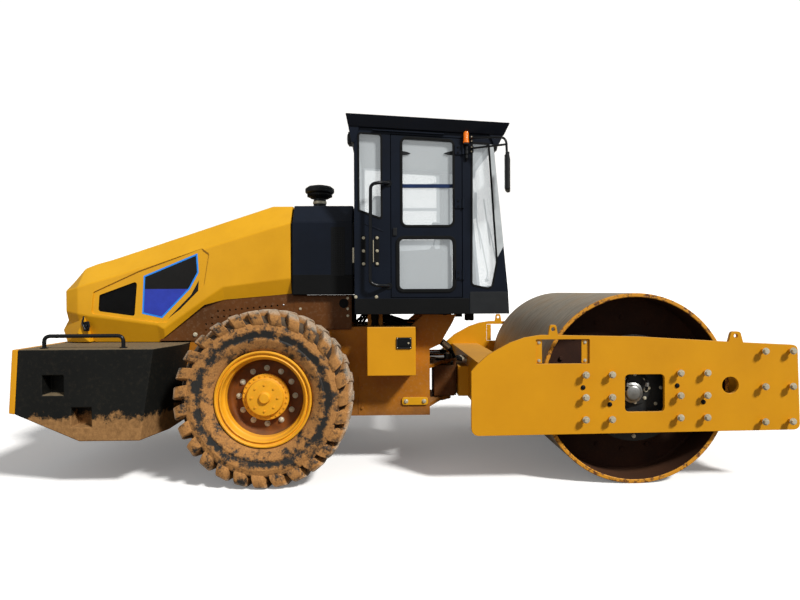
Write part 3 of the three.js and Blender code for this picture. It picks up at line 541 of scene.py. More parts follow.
def seat_cloth():
    """Woven polyester over foam: a charcoal weave of 2 mm threads, drawn at 4 mm so that it shows."""
    made, tree, spots = started("woven polyester, charcoal", Roughness=0.92, Sheen_Weight=0.3)
    warp = add(tree, "TexWave", {"Vector": spots, "Scale": 125.0, "Distortion": 1.0}, bands_direction="Y", out="Fac")
    weft = add(tree, "TexWave", {"Vector": spots, "Scale": 125.0, "Distortion": 1.0},
               bands_direction="DIAGONAL", out="Fac")
    weave = add(tree, "Math", {0: warp, 1: weft}, operation="MULTIPLY")
    tone = add(tree, "Mix", {0: weave, 6: "1d1e20", 7: "3a3c40"}, data_type="RGBA", out=2)
    return finished(made, (weave, 0.5, 0.001), Base_Color=tone)


def pale_studio():
    """Matt painted studio floor and wall: pale where it is seen, and grey in the light that it throws back."""
    made, tree, spots = started("matt paint, pale", Roughness=0.95, Specular_IOR_Level=0.0,
                                Emission_Color=hexed("ffffff"))
    cloud = add(tree, "TexNoise", {"Vector": spots, "Scale": 0.5, "Detail": 2.0}, out="Fac")
    pale = add(tree, "Mix", {0: cloud, 6: "fdfdfd", 7: "ffffff"}, data_type="RGBA", out=2)
    seen = add(tree, "LightPath", out="Is Camera Ray")
    tone = add(tree, "Mix", {0: seen, 6: "8a847b", 7: pale}, data_type="RGBA", out=2)
    lift = add(tree, "Math", {0: seen, 1: 0.14}, operation="MULTIPLY")
    return finished(made, Base_Color=tone, Emission_Strength=lift)


RECIPES = {
    # Sprayed two-coat enamel: a warm satin yellow with faint orange peel, and a pale yellow film on what faces up
    # that is dust and a painted highlight on the lit tops.
    "yellow": lambda: weathered("yellow enamel, sprayed", "e3a616", "d79b12", rough=0.4, dust=0.4, coat=0.06,
        dust_colour="e9cc60"),
    # The same enamel low on the machine, its base darkened as painted shade under the cab and hood: duller, with
    # spatter and dried mud towards the ground.
    "frame yellow": lambda: weathered("yellow enamel, dusty, painted shade", "bb7510", "9c5d0e", rough=0.52, dust=0.4,
        splash=0.16, mud=(0.62, 0.36)),
    # Enamel on flame-cut plate: flat satin, with faint handling marks.
    "plate yellow": lambda: weathered("yellow enamel, side plates", "dc9a12", "d08f10", rough=0.42, dust=0.3,
        broad=1.4),
    # Enamel on the wheels: dull, with dust over it and splashes of dried mud.
    "rim yellow": lambda: weathered("yellow enamel, wheels", "efa91e", "dc981a", rough=0.48, dust=0.2, splash=0.1,
        broad=6),
    # Dark blue-black enamel on pressed sheet: soft highlights and a film of dust.
    "blue-black": lambda: weathered("blue-black enamel, sprayed", "0d131e", "111927", rough=0.38, dust=0.12,
        coat=0.04, gleam=0.2, dust_colour="5d5c5b"),
    # Flat grey-black paint, as on the cab's foot and the cover's lower band.
    "grey-black": lambda: weathered("grey-black paint, flat", "0c0d0e", "101112", rough=0.55, dust=0.12,
        gleam=0.15, dust_colour="5d5c5b"),
    # Black paint over a rough iron casting, dusty on top and caked with dried mud below.
    "casting": lambda: weathered("black paint on cast iron", "0e0f0e", "151614", rough=0.6, dust=0.6, splash=0.02,
        mud=(0.60, 0.565), grain=(90, 0.0015), gleam=0.2, dust_colour="b09a78", mud_colour="c2925c"),
    # Black powder coat on bent tube: an even half gloss.
    "black": lambda: weathered("black powder coat", "090b0e", "101318", rough=0.32, dust=0.1, dust_colour="6d6a66"),
    # Dark red-brown primer inside the drum, with rust bloom and dust, kept very dark as painted shade inside the
    # drum.
    "primer": lambda: weathered("red-brown primer, rusty, painted shade", "2b1408", "3d1e0c", rough=0.75, broad=4, dust=0.35,
        splash=0.12, grain=(120, 0.001), dust_colour="6b4a30"),
    "ring": ring_enamel,
    "drum steel": rolled_steel,
    "tyre": tyre_rubber,
    "glass": cab_glass,
    "cloth": seat_cloth,
    "studio": pale_studio,
    # Near-black rubber and dark earth in the gaps of the tread, kept dark as painted shade in the deep gaps.
    "tread gap": lambda: plain("tyre rubber, earthy, painted shade", "17130f", "35261a", 0.92, grain=(60, 0.002), dust=0.3),
    # Pale strip where the windscreen wraps the post: the glass shown as an opaque painted reflection.
    "glass edge": lambda: plain("glass edge, pale painted reflection", "c3c9cc", "b4babd", 0.12, dust=0.0),
    # Enamel in the wheel's dish, brown with road dirt and darkened as painted shade cast by the rim's barrel.
    "rim dirt and painted shade": lambda: plain("yellow enamel, dirt-stained, painted shade", "7d430d", "5c300c", 0.6, dust=0.2),
    # Enamel on the skirts and the hitch, darkened to brown as painted shade from the hood and cab above, with a
    # little dust and spatter.
    "skirt": lambda: weathered("yellow enamel, painted shade", "64380c", "4f2c08", rough=0.6, dust=0.3, splash=0.1),
    # Black EPDM: a soft grey-black that takes no highlight.
    "rubber": lambda: plain("EPDM rubber, moulded", "0c0d0e", "131415", 0.7, gleam=0.15, dust_colour="5d5c5b"),
    # Zinc plate on bolts: pale grey metal with a faint yellow cast.
    "zinc": lambda: plain("zinc-plated steel", "dfd8c2", "bdb398", 0.42, metallic=0.5),
    # Hard chrome on the cylinder rods: near mirror.
    "chrome": lambda: plain("hard chrome, ground", "d8dadd", "c6c9cc", 0.12, metallic=1.0, dust=0.0),
    # Cast iron with old engine paint and oil.
    "iron": lambda: plain("cast iron, oily", "1c1d1e", "2a2a29", 0.5, metallic=0.3, grain=(80, 0.001)),
    # Die-cast aluminium of the drum's motor.
    "aluminium": lambda: plain("die-cast aluminium", "a9a9a6", "7f7f7c", 0.42, metallic=0.9),
    # Black ABS and polypropylene, moulded with a fine leather grain.
    "plastic": lambda: plain("ABS, grained black", "131517", "1a1c1f", 0.5, grain=(600, 0.0004),
        dust_colour="6d6a66"),
    # The lighter grey band at the foot of the cab's front.
    "grey band": lambda: plain("grey enamel, dusty", "1b1e21", "212427", 0.5, dust=0.2, dust_colour="6d6a66"),
    # Steel wire cloth under black paint; the same black makes the sheets behind the vents, which are painted shade.
    "mesh": lambda: plain("black-painted wire cloth and painted shade", "0b0c0d", "131415", 0.5, gleam=0.2, dust_colour="5d5c5b"),
    "navy": lambda: plain("dark blue enamel bar", "16284c", "1b305a", 0.35),
    # Cast vinyl film: even colour and a low gloss.
    "film black": lambda: plain("vinyl film, black", "151413", "191817", 0.4, grain=(900, 0.0001), gleam=0.2),
    "film blue": lambda: plain("vinyl film, blue", "2a3aa6", "2e40b4", 0.3, grain=(900, 0.0001)),
    "film edge": lambda: plain("vinyl film, bright blue", "1f86ee", "2a90f4", 0.3, grain=(900, 0.0001)),
    "amber": lambda: lens("polycarbonate, amber", "e8780c", 0.35),
    "red": lambda: lens("polycarbonate, red", "a8120c", 0.1),
    "clear": lambda: lens("polycarbonate, clear", "dfe6f2", 0.25),
    # Silvered mirror behind glass.
    "mirror": lambda: plain("silvered glass", "e4e8ea", "dfe4e6", 0.04, metallic=1.0, dust=0.0, grain=(20, 0.00001)),
}


def surface(finish):
    """The material for a finish, made when it is first asked for."""
    if finish not in FINISHES:
        FINISHES[finish] = RECIPES[finish]()
    return FINISHES[finish]


def finish_node(node, finish, slot):
    """Gives a frame node that stays as it is its finish."""
    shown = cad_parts[node]
    shown.data.materials.clear()
    shown.data.materials.append(surface(finish))
    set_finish(shown, slot)


# ---------------------------------------------------------------- wheels

RUBBER_INSIDE = ((0.650, 0.01), (0.648, 0.10), (0.640, 0.165), (0.624, 0.200), (0.602, 0.222), (0.585, 0.232))
RUBBER_OUTSIDE = ((0.705, 0.012), (0.705, 0.10), (0.703, 0.19), (0.694, 0.232), (0.660, 0.249), (0.612, 0.249))


def along(path, share):
    """The point at a share of the way through a list of points."""
    reach = share * (len(path) - 1)
    i = min(int(reach), len(path) - 2)
    return Vector(path[i]).lerp(Vector(path[i + 1]), reach - i)


def tread_lug(side_y, hand):
    """One lug, from beside the tread's middle, slanting over the shoulder and down the wall."""
    bm = bmesh.new()
    bmesh.ops.create_cube(bm, size=1)
    lengthwise = [e for e in bm.edges if abs(e.verts[0].co.x - e.verts[1].co.x) > 0.5]
    bmesh.ops.subdivide_edges(bm, edges=lengthwise, cuts=7, use_grid_fill=True)
    for v in bm.verts:
        out, around, up = v.co.x + 0.5, v.co.y, v.co.z + 0.5
        radius, across = along(RUBBER_INSIDE, out).lerp(along(RUBBER_OUTSIDE, out), up)
        width = 0.092 + 0.022 * out - 0.014 * up
        angle = (0.085 * (out - 0.35) + around * width) / TYRE_RADIUS
        v.co = (AXLE_X + radius * math.sin(angle), side_y + hand * across, AXLE_Z + radius * math.cos(angle))
    bmesh.ops.recalc_face_normals(bm, faces=bm.faces)
    return round_edges(bm, sharp_edges(bm, 45), 0.005, 1)


def tyre(side, lug_count):
    """Tyre carcass with its ringed walls and two staggered rows of lugs."""
    side_y = side * AXLE_Y
    half = [(0.345, 0.168), (0.386, 0.176), (0.396, 0.198), (0.42, 0.214), (0.455, 0.229), (0.468, 0.237),
            (0.482, 0.238), (0.490, 0.233), (0.53, 0.240), (0.545, 0.245), (0.556, 0.245), (0.562, 0.240),
            (0.588, 0.238), (0.604, 0.228), (0.628, 0.204), (0.644, 0.170), (0.652, 0.10)]
    carcass = lathe(both_ways(half), (AXLE_X, side_y, AXLE_Z), steps=144)

    def treaded(face):
        spot = face.calc_center_median()
        return math.hypot(spot.x - AXLE_X, spot.z - AXLE_Z) > 0.606

    # Between the lugs the carcass is painted near-black: painted shade in the tread's gaps.
    yield carcass, "tyre", ("tread gap", treaded)
    for hand in (1, -1):
        lugs = round_copies(tread_lug(side_y, hand), lug_count, (AXLE_X, side_y, AXLE_Z))
        if hand < 0:                       # the two rows are staggered by half a pitch
            bmesh.ops.rotate(lugs, cent=(AXLE_X, side_y, AXLE_Z), verts=lugs.verts,
                             matrix=Matrix.Rotation(math.pi / lug_count, 3, "Y"))
        yield lugs, "tyre"


def rim(side):
    """Three-piece rim: rolled flange, lock ring, gutter and dished disc, with the hub's reduction drive."""
    side_y = side * AXLE_Y
    centre = (AXLE_X, side_y, AXLE_Z)

    def turned(profile, steps=96):
        return lathe([(r, side * s) for r, s in profile], centre, steps=steps)

    body = turned([
        (0.298, -0.203), (0.383, -0.203), (0.383, -0.188), (0.341, -0.172), (0.341, 0.170), (0.372, 0.180),
        (0.382, 0.186), (0.385, 0.196), (0.381, 0.206), (0.372, 0.209), (0.364, 0.204), (0.360, 0.190),
        (0.352, 0.187), (0.348, 0.196), (0.340, 0.200), (0.333, 0.196), (0.330, 0.182), (0.326, 0.160),
        (0.319, 0.148), (0.312, 0.143), (0.306, 0.09), (0.301, 0.040), (0.290, 0.022), (0.270, 0.015),
        (0.15, 0.015), (0.15, -0.005), (0.298, -0.005)])
    hub = turned([
        (0.0, -0.26), (0.17, -0.26), (0.17, 0.045), (0.184, 0.052), (0.188, 0.062), (0.188, 0.080),
        (0.184, 0.085), (0.160, 0.086), (0.152, 0.092), (0.148, 0.118), (0.142, 0.126), (0.120, 0.130),
        (0.048, 0.132), (0.044, 0.136), (0.042, 0.150), (0.037, 0.155), (0.0, 0.156)])

    def dished(face):
        spot = face.calc_center_median()
        return side * (spot.y - side_y) < 0.10 and math.hypot(spot.x - AXLE_X, spot.z - AXLE_Z) < 0.305

    # The dish is painted dark brown: road dirt and painted shade from the barrel.
    parts = [(body, "rim yellow", ("rim dirt and painted shade", dished)), (hub, "rim yellow")]

    def bolts(count, radius, depth, size, finish, washer=True):
        at = (AXLE_X + radius, side_y + side * depth, AXLE_Z)
        parts.append((round_copies(hex_bolt(at, (0, side, 0), size, washer), count, centre), finish))

    bolts(12, 0.228, 0.015, 0.018, "zinc")
    bolts(24, 0.172, 0.086, 0.0085, "rim yellow", washer=False)
    bolts(8, 0.105, 0.131, 0.009, "rim yellow", washer=False)
    studs = rod((AXLE_X + 0.228, side_y + side * 0.010, AXLE_Z), (AXLE_X + 0.228, side_y + side * 0.040, AXLE_Z),
                0.008, 12)
    parts.append((round_copies(studs, 12, centre), "zinc"))
    return parts


# ---------------------------------------------------------------- drum

def drum_shell():
    """The rolled shell, its two end discs and their hubs."""
    half, outer, bore = DRUM_HALF, DRUM_RADIUS, DRUM_RADIUS - 0.032
    disc_out, disc_in, hub = half - 0.290, half - 0.320, 0.150
    ease = 0.005
    side = [(outer - ease, half), (bore + ease, half), (bore, half - ease), (bore, disc_out + 0.014),
            (bore - 0.014, disc_out), (hub, disc_out), (hub, disc_in), (bore, disc_in)]
    profile = ([(outer, -half + ease), (outer, half - ease)] + side + [(r, -s) for r, s in reversed(side)])
    shell = lathe(profile, (DRUM_X, 0, DRUM_Z), steps=192)

    def rolled(face):
        middle_point = face.calc_center_median() - Vector((DRUM_X, 0, DRUM_Z))
        return math.hypot(middle_point.x, middle_point.z) > outer - 0.002

    def rimmed(face):
        return abs(face.calc_center_median().y) > half - ease * 0.9 and not rolled(face)

    # The drum's inside is painted near-black brown: primer and painted shade.
    yield shell, "primer", ("drum steel", rolled), ("ring", rimmed)
    for side_sign in (1, -1):
        at = (DRUM_X + 0.56, side_sign * disc_out, DRUM_Z)
        yield round_copies(hex_bolt(at, (0, side_sign, 0), 0.018), 16, (DRUM_X, 0, DRUM_Z)), "primer"


# ---------------------------------------------------------------- front frame

STUD_COLUMNS = ((-0.442, (0.894, 0.718, 0.544)), (-0.235, (0.894, 0.718, 0.544)), (0.306, (0.902, 0.726, 0.552)),
                (0.519, (0.902, 0.726, 0.552)), (0.981, (1.069, 0.790, 0.513)), (1.201, (1.069, 0.790, 0.513)))
PLUGS = ((-0.452, 0.790), (-0.240, 0.655), (0.297, 0.798), (0.507, 0.667))
STUD_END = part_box("side_plate_left")[1].y
SUPPORT_FACE = 1.032                      # outer face of a drum support, from the middle plane


def side_plate(side):
    """One flame-cut side plate with its lifting lugs; the studs are separate."""
    plate = refined(f"side_plate_{name_of(side)}", 0.0035, keep=lambda co: abs(co.y) < PLATE_OUTER + 0.0008)
    return [(plate, "plate yellow")]


def name_of(side):
    return "left" if side > 0 else "right"


def plate_studs(side):
    """Long studs through spacer tubes, each with a plated nut, and rubber plugs in the spare holes."""
    face = side * PLATE_OUTER
    for column, heights in STUD_COLUMNS:
        for height in heights:
            at = Vector((DRUM_X + column, face, height))
            out = Vector((0, side, 0))
            yield rod(at, at + out * 0.044, 0.0155, 20, 0.002), "plate yellow"
            yield hex_bolt(at + out * 0.044, out, 0.0215), "zinc"
            yield rod(at + out * 0.050, (at.x, side * STUD_END, at.z), 0.0085, 12), "zinc"
    for column, height in PLUGS:
        yield dome((DRUM_X + column, face, height), (0, side, 0), 0.0195, 0.012), "rubber"


def window_frames(side):
    """Bolted uprights inside the plate's upper window."""
    for near, far in ((-0.824, -0.768), (-0.462, -0.399)):
        x = (DRUM_X + near + 0.004, DRUM_X + far - 0.004)
        yield block(x, (side * PLATE_INNER, side * (PLATE_INNER + 0.012)), (0.982, 1.166), 0.002), "plate yellow"
        for height in (1.002, 1.145):
            at = (sum(x) / 2, side * (PLATE_INNER + 0.012), height)
            yield hex_bolt(at, (0, side, 0), 0.010), "zinc"


def exciter_motor(side):
    """The drum's hydraulic motor behind the plate's window, with two elbow hoses."""
    start = side * SUPPORT_FACE
    centre = (DRUM_X, start, DRUM_Z)

    def turned(profile, shift=(0, 0, 0), steps=48):
        return lathe([(r, side * s) for r, s in profile], Vector(centre) + Vector(shift), steps=steps)

    yield turned([(0, 0), (0.13, 0), (0.132, 0.004), (0.132, 0.018), (0.128, 0.022), (0, 0.022)]), "iron"
    yield turned([(0, 0.02), (0.082, 0.02), (0.086, 0.026), (0.082, 0.05), (0.066, 0.058), (0.060, 0.072),
                  (0.045, 0.080), (0, 0.081)], (-0.03, 0, -0.03)), "aluminium"
    flange_bolts = hex_bolt((DRUM_X + 0.112, start + side * 0.022, DRUM_Z), (0, side, 0), 0.011)
    yield round_copies(flange_bolts, 8, centre), "zinc"
    for shift, lift in ((-0.085, 0.115), (0.075, 0.085)):
        foot = Vector((DRUM_X + shift, start + side * 0.03, DRUM_Z - 0.01))
        elbow = [foot, foot + Vector((0, side * 0.035, 0)), foot + Vector((0.01, side * 0.035, lift)),
                 foot + Vector((-0.16, side * 0.005, lift + 0.15))]
        yield pipe(elbow, 0.011, 0.03, smooth=False), "rubber"
        yield rod(foot, foot + Vector((0, side * 0.03, 0)), 0.017, 6), "zinc"
        yield rod(foot + Vector((0.003, side * 0.035, 0.03)), foot + Vector((0.006, side * 0.035, 0.06)),
                  0.0155, 6), "aluminium"


def drum_support(side):
    """Support disc with its hub and pads, ringed with buffer bolts."""
    yield refined(f"drum_support_{name_of(side)}", 0.003, angle=40), "iron"
    face = side * SUPPORT_FACE
    for count, radius, size in ((12, 0.39, 0.013), (10, 0.22, 0.011)):
        bolts = hex_bolt((DRUM_X + radius, face, DRUM_Z), (0, side, 0), size)
        yield round_copies(bolts, count, (DRUM_X, 0, DRUM_Z)), "zinc"


def crossbeam(node):
    return [(refined(node, 0.005), "plate yellow")]


def scraper(node, sign):
    """Scraper blade in its holder, with the clamp bolts along it."""
    low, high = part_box(node)
    yield refined(node, 0.002), "black"
    seat = low.x + 0.035 if sign < 0 else high.x - 0.035
    bolts = hex_bolt((seat, -0.90, high.z), (0, 0, 1), 0.011)
    yield row_copies(bolts, 7, (0, 0.30, 0)), "zinc"


# ---------------------------------------------------------------- rear frame

CASTING_TOP = WEIGHT_TOP + 0.001


def chassis():
    """The welded rear frame, with its locking bars, bolts and a weld bead on each side."""
    # The rear frame's darker yellow is partly painted shade under the cab.
    yield refined("rear_frame", 0.0025), "frame yellow"
    for side in (1, -1):
        outer = side * RAIL_OUTER
        yield panel_on(side, outer, [(1.115, 0.545, 0.02), (1.345, 0.545, 0.02), (1.345, 0.612, 0.02),
                                     (1.115, 0.612, 0.02)], 0, 0.016, 0.002), "yellow"
        yield from bolts_on(side, outer + side * 0.016, 0.015, ((1.150, 0.578), (1.310, 0.578)))
        yield from bolts_on(side, outer, 0.013, ((0.76, 0.52), (0.76, 0.70), (-0.30, 1.02), (0.20, 1.02)),
                            "frame yellow")
        bead = [(ahead(0.73), outer, 0.80), (ahead(0.73), outer, 0.47)]
        yield pipe(bead, 0.005, sides=8), "frame yellow"


def cab_mounts():
    """Rubber mounts, hoses and harness in the gap between the frame and the cab."""
    deck = 1.2395
    for side in (1, -1):
        for x, z in ((0.878, deck), (1.50, 1.344)):
            at = Vector((ahead(x), side * 0.405, z - 0.004))
            yield lathe([(0, 0), (0.055, 0), (0.055, 0.008), (0.040, 0.02), (0.034, 0.05), (0.040, 0.08),
                         (0.040, CAB_LOW.z - at.z - 0.001), (0, CAB_LOW.z - at.z - 0.001)],
                        at + Vector((0, side * 0.028, 0)), "Z", 32), "rubber"
        for shift, x0, x1 in ((0.02, 0.70, 1.22), (0.06, 0.73, 1.10), (0.10, 0.76, 1.28)):
            start = Vector((ahead(x0), side * (0.40 - shift), deck + 0.02))
            end = Vector((ahead(x1), side * (0.42 - shift), deck + 0.014))
            top = start.lerp(end, 0.35) + Vector((0, side * 0.02, 0.075))
            yield pipe([start, start + Vector((0.03, 0, 0.05)), top, start.lerp(end, 0.8), end],
                       0.011, smooth=True, sides=12), "rubber"


def counterweight():
    """Cast counterweight with its side pockets; the front corners slant back towards the tyres."""
    body = refined("counterweight", 0.010, keep=lambda co: co.z < CASTING_TOP, segments=3)
    return [(body, "casting")]


def weight_handrails():
    """Bent tube rails on welded feet, one each side of the hood's nose."""
    for side in (1, -1):
        y = side * (WEIGHT_HALF - 0.100)
        ends = [ahead(x) for x in (-1.727, -1.109)]
        top = WEIGHT_TOP + 0.097
        path = [(ends[0], y, WEIGHT_TOP), (ends[0], y, top), (ends[1], y, top), (ends[1], y, WEIGHT_TOP)]
        yield pipe(path, 0.0155, 0.055, 16), "black"
        for x in ends:
            yield rod((x, y, WEIGHT_TOP), (x, y, WEIGHT_TOP + 0.008), 0.030), "black"


def rear_plate():
    """Painted end plate, bolted on, with two round reflectors."""
    low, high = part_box("rear_plate")
    yield refined("rear_plate", 0.006, segments=3), "plate yellow"
    lean = Vector((-1, 0, -0.064)).normalized()

    def face_x(z):
        return low.x + 0.064 * (z - low.z) - 0.0005

    for y in (-0.95, -0.32, 0.32, 0.95):
        for z in (low.z + 0.09, high.z - 0.09):
            yield hex_bolt((face_x(z), y, z), lean, 0.019), "zinc"
    for y in (-0.80, 0.80):
        yield dome((face_x(0.90), y, 0.90), lean, 0.042, 0.007), "red"


def axle_housing():
    """Drive axle: swelling differential housing, hung by pads under the frame plates."""
    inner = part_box("rear_axle")[1].y
    half = [(0.0, inner), (0.128, inner), (0.128, inner - 0.02), (0.108, inner - 0.045), (0.100, 0.36),
            (0.108, 0.30), (0.145, 0.225), (0.195, 0.15), (0.216, 0.10), (0.216, 0.020), (0.222, 0.015)]
    yield lathe(both_ways(half), (AXLE_X, 0, AXLE_Z), steps=56), "frame yellow"
    low_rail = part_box("rear_axle")[1].z
    for side in (1, -1):
        y = (side * 0.430, side * 0.505)
        yield block((AXLE_X - 0.085, AXLE_X + 0.085), y, (AXLE_Z, low_rail), 0.006), "frame yellow"
        for dx in (-0.06, 0.06):
            yield rod((AXLE_X + dx, side * 0.495, AXLE_Z - 0.13), (AXLE_X + dx, side * 0.495, low_rail), 0.011,
                      12), "zinc"
    cover = hex_bolt((AXLE_X + 0.200, 0.021, AXLE_Z), (0, 1, 0), 0.010)
    yield round_copies(cover, 16, (AXLE_X, 0, AXLE_Z)), "frame yellow"


def engine_skirt(side, hole, pitch):
    """Perforated skirt under the hood, with the plain panel that carries on under the engine cover."""
    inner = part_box(f"engine_skirt_{name_of(side)}")[0 if side > 0 else 1].y
    outer = inner + side * 0.014
    edge = points_at([(-1.010, WEIGHT_TOP + 0.015), (-0.600, 1.462), (-0.440, 1.500), (0.140, 1.550), (0.160, 1.520),
                      (0.672, 1.520), (0.672, 1.218, 0.02), (0.300, 1.218), (0.250, 1.130), (-0.640, 1.130)])
    holes = []
    for row in range(7):
        for column in range(17):
            x, z = -0.655 + column * pitch, 1.165 + row * pitch + column * 0.0046
            left_edge = x > -0.86 + 0.9 * (z - 1.115) + 0.10
            below_top = z < min(1.462 + (x + 0.6) * 0.05, 1.115 + (x + 1.01) * 0.85) - 0.035
            if left_edge and below_top and -0.65 < x < 0.12:
                holes.append([(ahead(x) + hole * math.cos(a), z + hole * math.sin(a))
                              for a in (i * math.pi / 5 for i in range(10))])
    # The skirt's dark brown is painted shade under the hood's overhang.
    yield prism(edge, "Y", (inner, outer), holes=holes), "skirt"
    yield panel_on(side, outer, [(0.168, 1.226, 0.012), (0.664, 1.226, 0.012), (0.664, 1.512, 0.012),
                                 (0.168, 1.512, 0.012)], 0, 0.004, 0.0015), "skirt"
    face = outer + side * 0.004
    yield from bolts_on(side, face, 0.009, ((0.639, 1.496), (0.639, 1.401), (0.639, 1.340), (0.222, 1.403),
                                            (0.222, 1.262)))
    yield from bolts_on(side, outer, 0.015, ((-0.697, 1.183),))
    yield lathe([(0.027, -0.002), (0.040, -0.002), (0.043, 0.003), (0.040, 0.008), (0.030, 0.009), (0.027, 0.006)],
                (ahead(0.604), face, 1.449), steps=32), "rubber"
    yield (rod((ahead(0.604), face - side * 0.001, 1.449), (ahead(0.604), face + side * 0.003, 1.449), 0.028),
           "rubber")


def locker():
    """Battery locker: a folded box with its own door, gasket line and flush paddle latch."""
    low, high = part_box("battery_box")
    face = low.y + 0.012
    top, foot = high.z, low.z
    yield block((low.x, high.x), (face + 0.022, high.y), (foot, top), 0.004), "plate yellow"
    door = block((low.x - 0.002, high.x + 0.002), (face, face + 0.020), (foot - 0.002, top + 0.002), 0.007, 3)
    yield door, "plate yellow"
    yield block((low.x + 0.006, high.x - 0.006), (face + 0.018, face + 0.025), (foot + 0.006, top - 0.006),
                0.001), "rubber"
    x, z = ahead(1.125), 1.1155
    plate = block((x - 0.064, x + 0.064), (face - 0.004, face + 0.002), (z - 0.048, z + 0.048), 0.002)
    rim_frame = prism([(x - 0.064, z - 0.048, 0.012), (x + 0.064, z - 0.048, 0.012), (x + 0.064, z + 0.048, 0.012),
                       (x - 0.064, z + 0.048, 0.012)], "Y", (face - 0.010, face - 0.003),
                      holes=[[(x - 0.050, z - 0.034), (x + 0.050, z - 0.034), (x + 0.050, z + 0.034),
                              (x - 0.050, z + 0.034)]])
    paddle = block((x - 0.046, x + 0.030), (face - 0.008, face - 0.003), (z - 0.026, z + 0.026), 0.002)
    yield plate, "black"
    yield rim_frame, "plastic"
    yield paddle, "black"
    yield rod((x + 0.038, face - 0.004, z), (x + 0.038, face - 0.010, z), 0.008, 16), "zinc"
    for dx in (-0.055, 0.055):
        for dz in (-0.039, 0.039):
            at = (x + dx, face - 0.009, z + dz)
            yield dome(at, (0, -1, 0), 0.0045, 0.002), "zinc"


def oil_tank():
    """Hydraulic oil tank with a screwed filler cap and a sight glass."""
    low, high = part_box("hydraulic_tank")
    top = high.z - 0.040
    cap = ((low.x + high.x) / 2 - 0.118, 0.620, top)
    yield block((low.x, high.x), (low.y, high.y), (low.z, top), 0.012, 3), "plate yellow"
    yield lathe([(0, 0), (0.048, 0), (0.048, 0.012), (0.043, 0.014), (0.043, 0.036), (0.038, 0.040), (0, 0.040)],
                cap, "Z", 40), "black"
    x, face = high.x - 0.07, high.y
    yield prism([(x - 0.02, 0.92, 0.018), (x + 0.02, 0.92, 0.018), (x + 0.02, 1.16, 0.018), (x - 0.02, 1.16, 0.018)],
                "Y", (face - 0.001, face + 0.010), bevel=0.003), "black"
    yield block((x - 0.010, x + 0.010), (face + 0.008, face + 0.014), (0.95, 1.13), 0.003), "clear"
    for z in (0.935, 1.145):
        yield hex_bolt((x, face + 0.010, z), (0, 1, 0), 0.008), "zinc"


# ---------------------------------------------------------------- hood

STICKER = ((-1.124, 1.698), (-0.660, 1.892), (-0.650, 1.725), (-0.727, 1.583), (-0.969, 1.330), (-1.141, 1.370))
SPLIT_Z = 1.583                            # the sticker is black above this height and blue below
# The hood's cross-sections from nose to front: ahead of the axle, foot, how far the foot is turned in,
# crease, shoulder, top, half width and half width of the flat top.
HOOD_SECTIONS = (
    (-1.812, 1.320, 0.035, 1.395, 1.572, 1.640, 0.500, 0.360),
    (-1.690, 1.200, 0.075, 1.372, 1.600, 1.769, 0.546, 0.392),
    (-1.589, 1.122, 0.105, 1.352, 1.630, 1.807, 0.550, 0.400),
    (-1.448, 1.122, 0.100, 1.332, 1.670, 1.846, 0.550, 0.400),
    (-1.010, 1.120, 0.070, 1.270, 1.803, 1.991, 0.550, 0.400),
    (-0.953, 1.166, 0.036, 1.237, 1.820, 2.010, 0.550, 0.400),
    (-0.650, 1.409, 0.024, 1.455, 1.912, 2.111, 0.550, 0.400),
    (-0.608, 1.443, 0.024, 1.486, 1.925, 2.125, 0.550, 0.400),
    (-0.443, 1.487, 0.045, 1.597, 1.975, 2.180, 0.550, 0.400),
    (-0.027, 1.522, 0.049, 1.650, 2.101, 2.317, 0.550, 0.400),
    (0.147, 1.538, 0.049, 1.670, 2.150, 2.317, 0.550, 0.400),
)
HOOD_SKIN = 0.018
RECESS = ((-1.572, 1.372), (-1.552, 1.560), (-1.150, 1.745), (-0.620, 1.935), (-0.555, 1.890), (-0.600, 1.620),
          (-0.925, 1.290), (-1.020, 1.292))
RECESS_DEPTH = 0.012
SIDE_WINDOW = ((-1.517, 1.394), (-1.206, 1.349), (-1.181, 1.653), (-1.507, 1.533))


def hood_shell():
    """The one-piece hood: a skin drawn from section to section, given its thickness inwards."""
    bm = bmesh.new()
    rows = []
    for x, foot, turned_in, crease, shoulder, top, half, top_half in HOOD_SECTIONS:
        right = [(half - turned_in, foot), (half, crease), (half, shoulder), (top_half, top)]
        line = [(-y, z) for y, z in right] + [(y, z) for y, z in reversed(right)]
        verts = [bm.verts.new((ahead(x), y, z)) for y, z in line]
        rows.append((verts, [bm.edges.new(pair) for pair in zip(verts, verts[1:])]))
    bmesh.ops.contextual_create(bm, geom=rows[0][0])
    for (_, before), (_, after) in zip(rows, rows[1:]):
        bmesh.ops.bridge_loops(bm, edges=before + after)
    bmesh.ops.recalc_face_normals(bm, faces=bm.faces)
    roof = max(bm.faces, key=lambda f: f.calc_center_median().z)
    if roof.normal.z < 0:
        bmesh.ops.reverse_faces(bm, faces=bm.faces)
    round_edges(bm, sharp_edges(bm, 8), 0.010, 3)
    bmesh.ops.solidify(bm, geom=bm.faces[:], thickness=HOOD_SKIN)
    bmesh.ops.recalc_face_normals(bm, faces=bm.faces)
    return bm


def hood_cutters():
    """Shapes cut out of the hood: its recessed side panels, its side windows and the grille's opening."""
    low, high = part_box("rear_grille")
    for side in (1, -1):
        face = side * HOOD_HALF
        yield panel_on(side, face, [(*p, 0.025) for p in RECESS], -RECESS_DEPTH, 0.05)
        yield panel_on(side, face, [(*p, 0.020) for p in SIDE_WINDOW], -0.08, 0.05)
    yield block((low.x - 0.10, high.x), (-0.42, 0.42), (low.z + 0.018, high.z - 0.018), 0.012, 3)


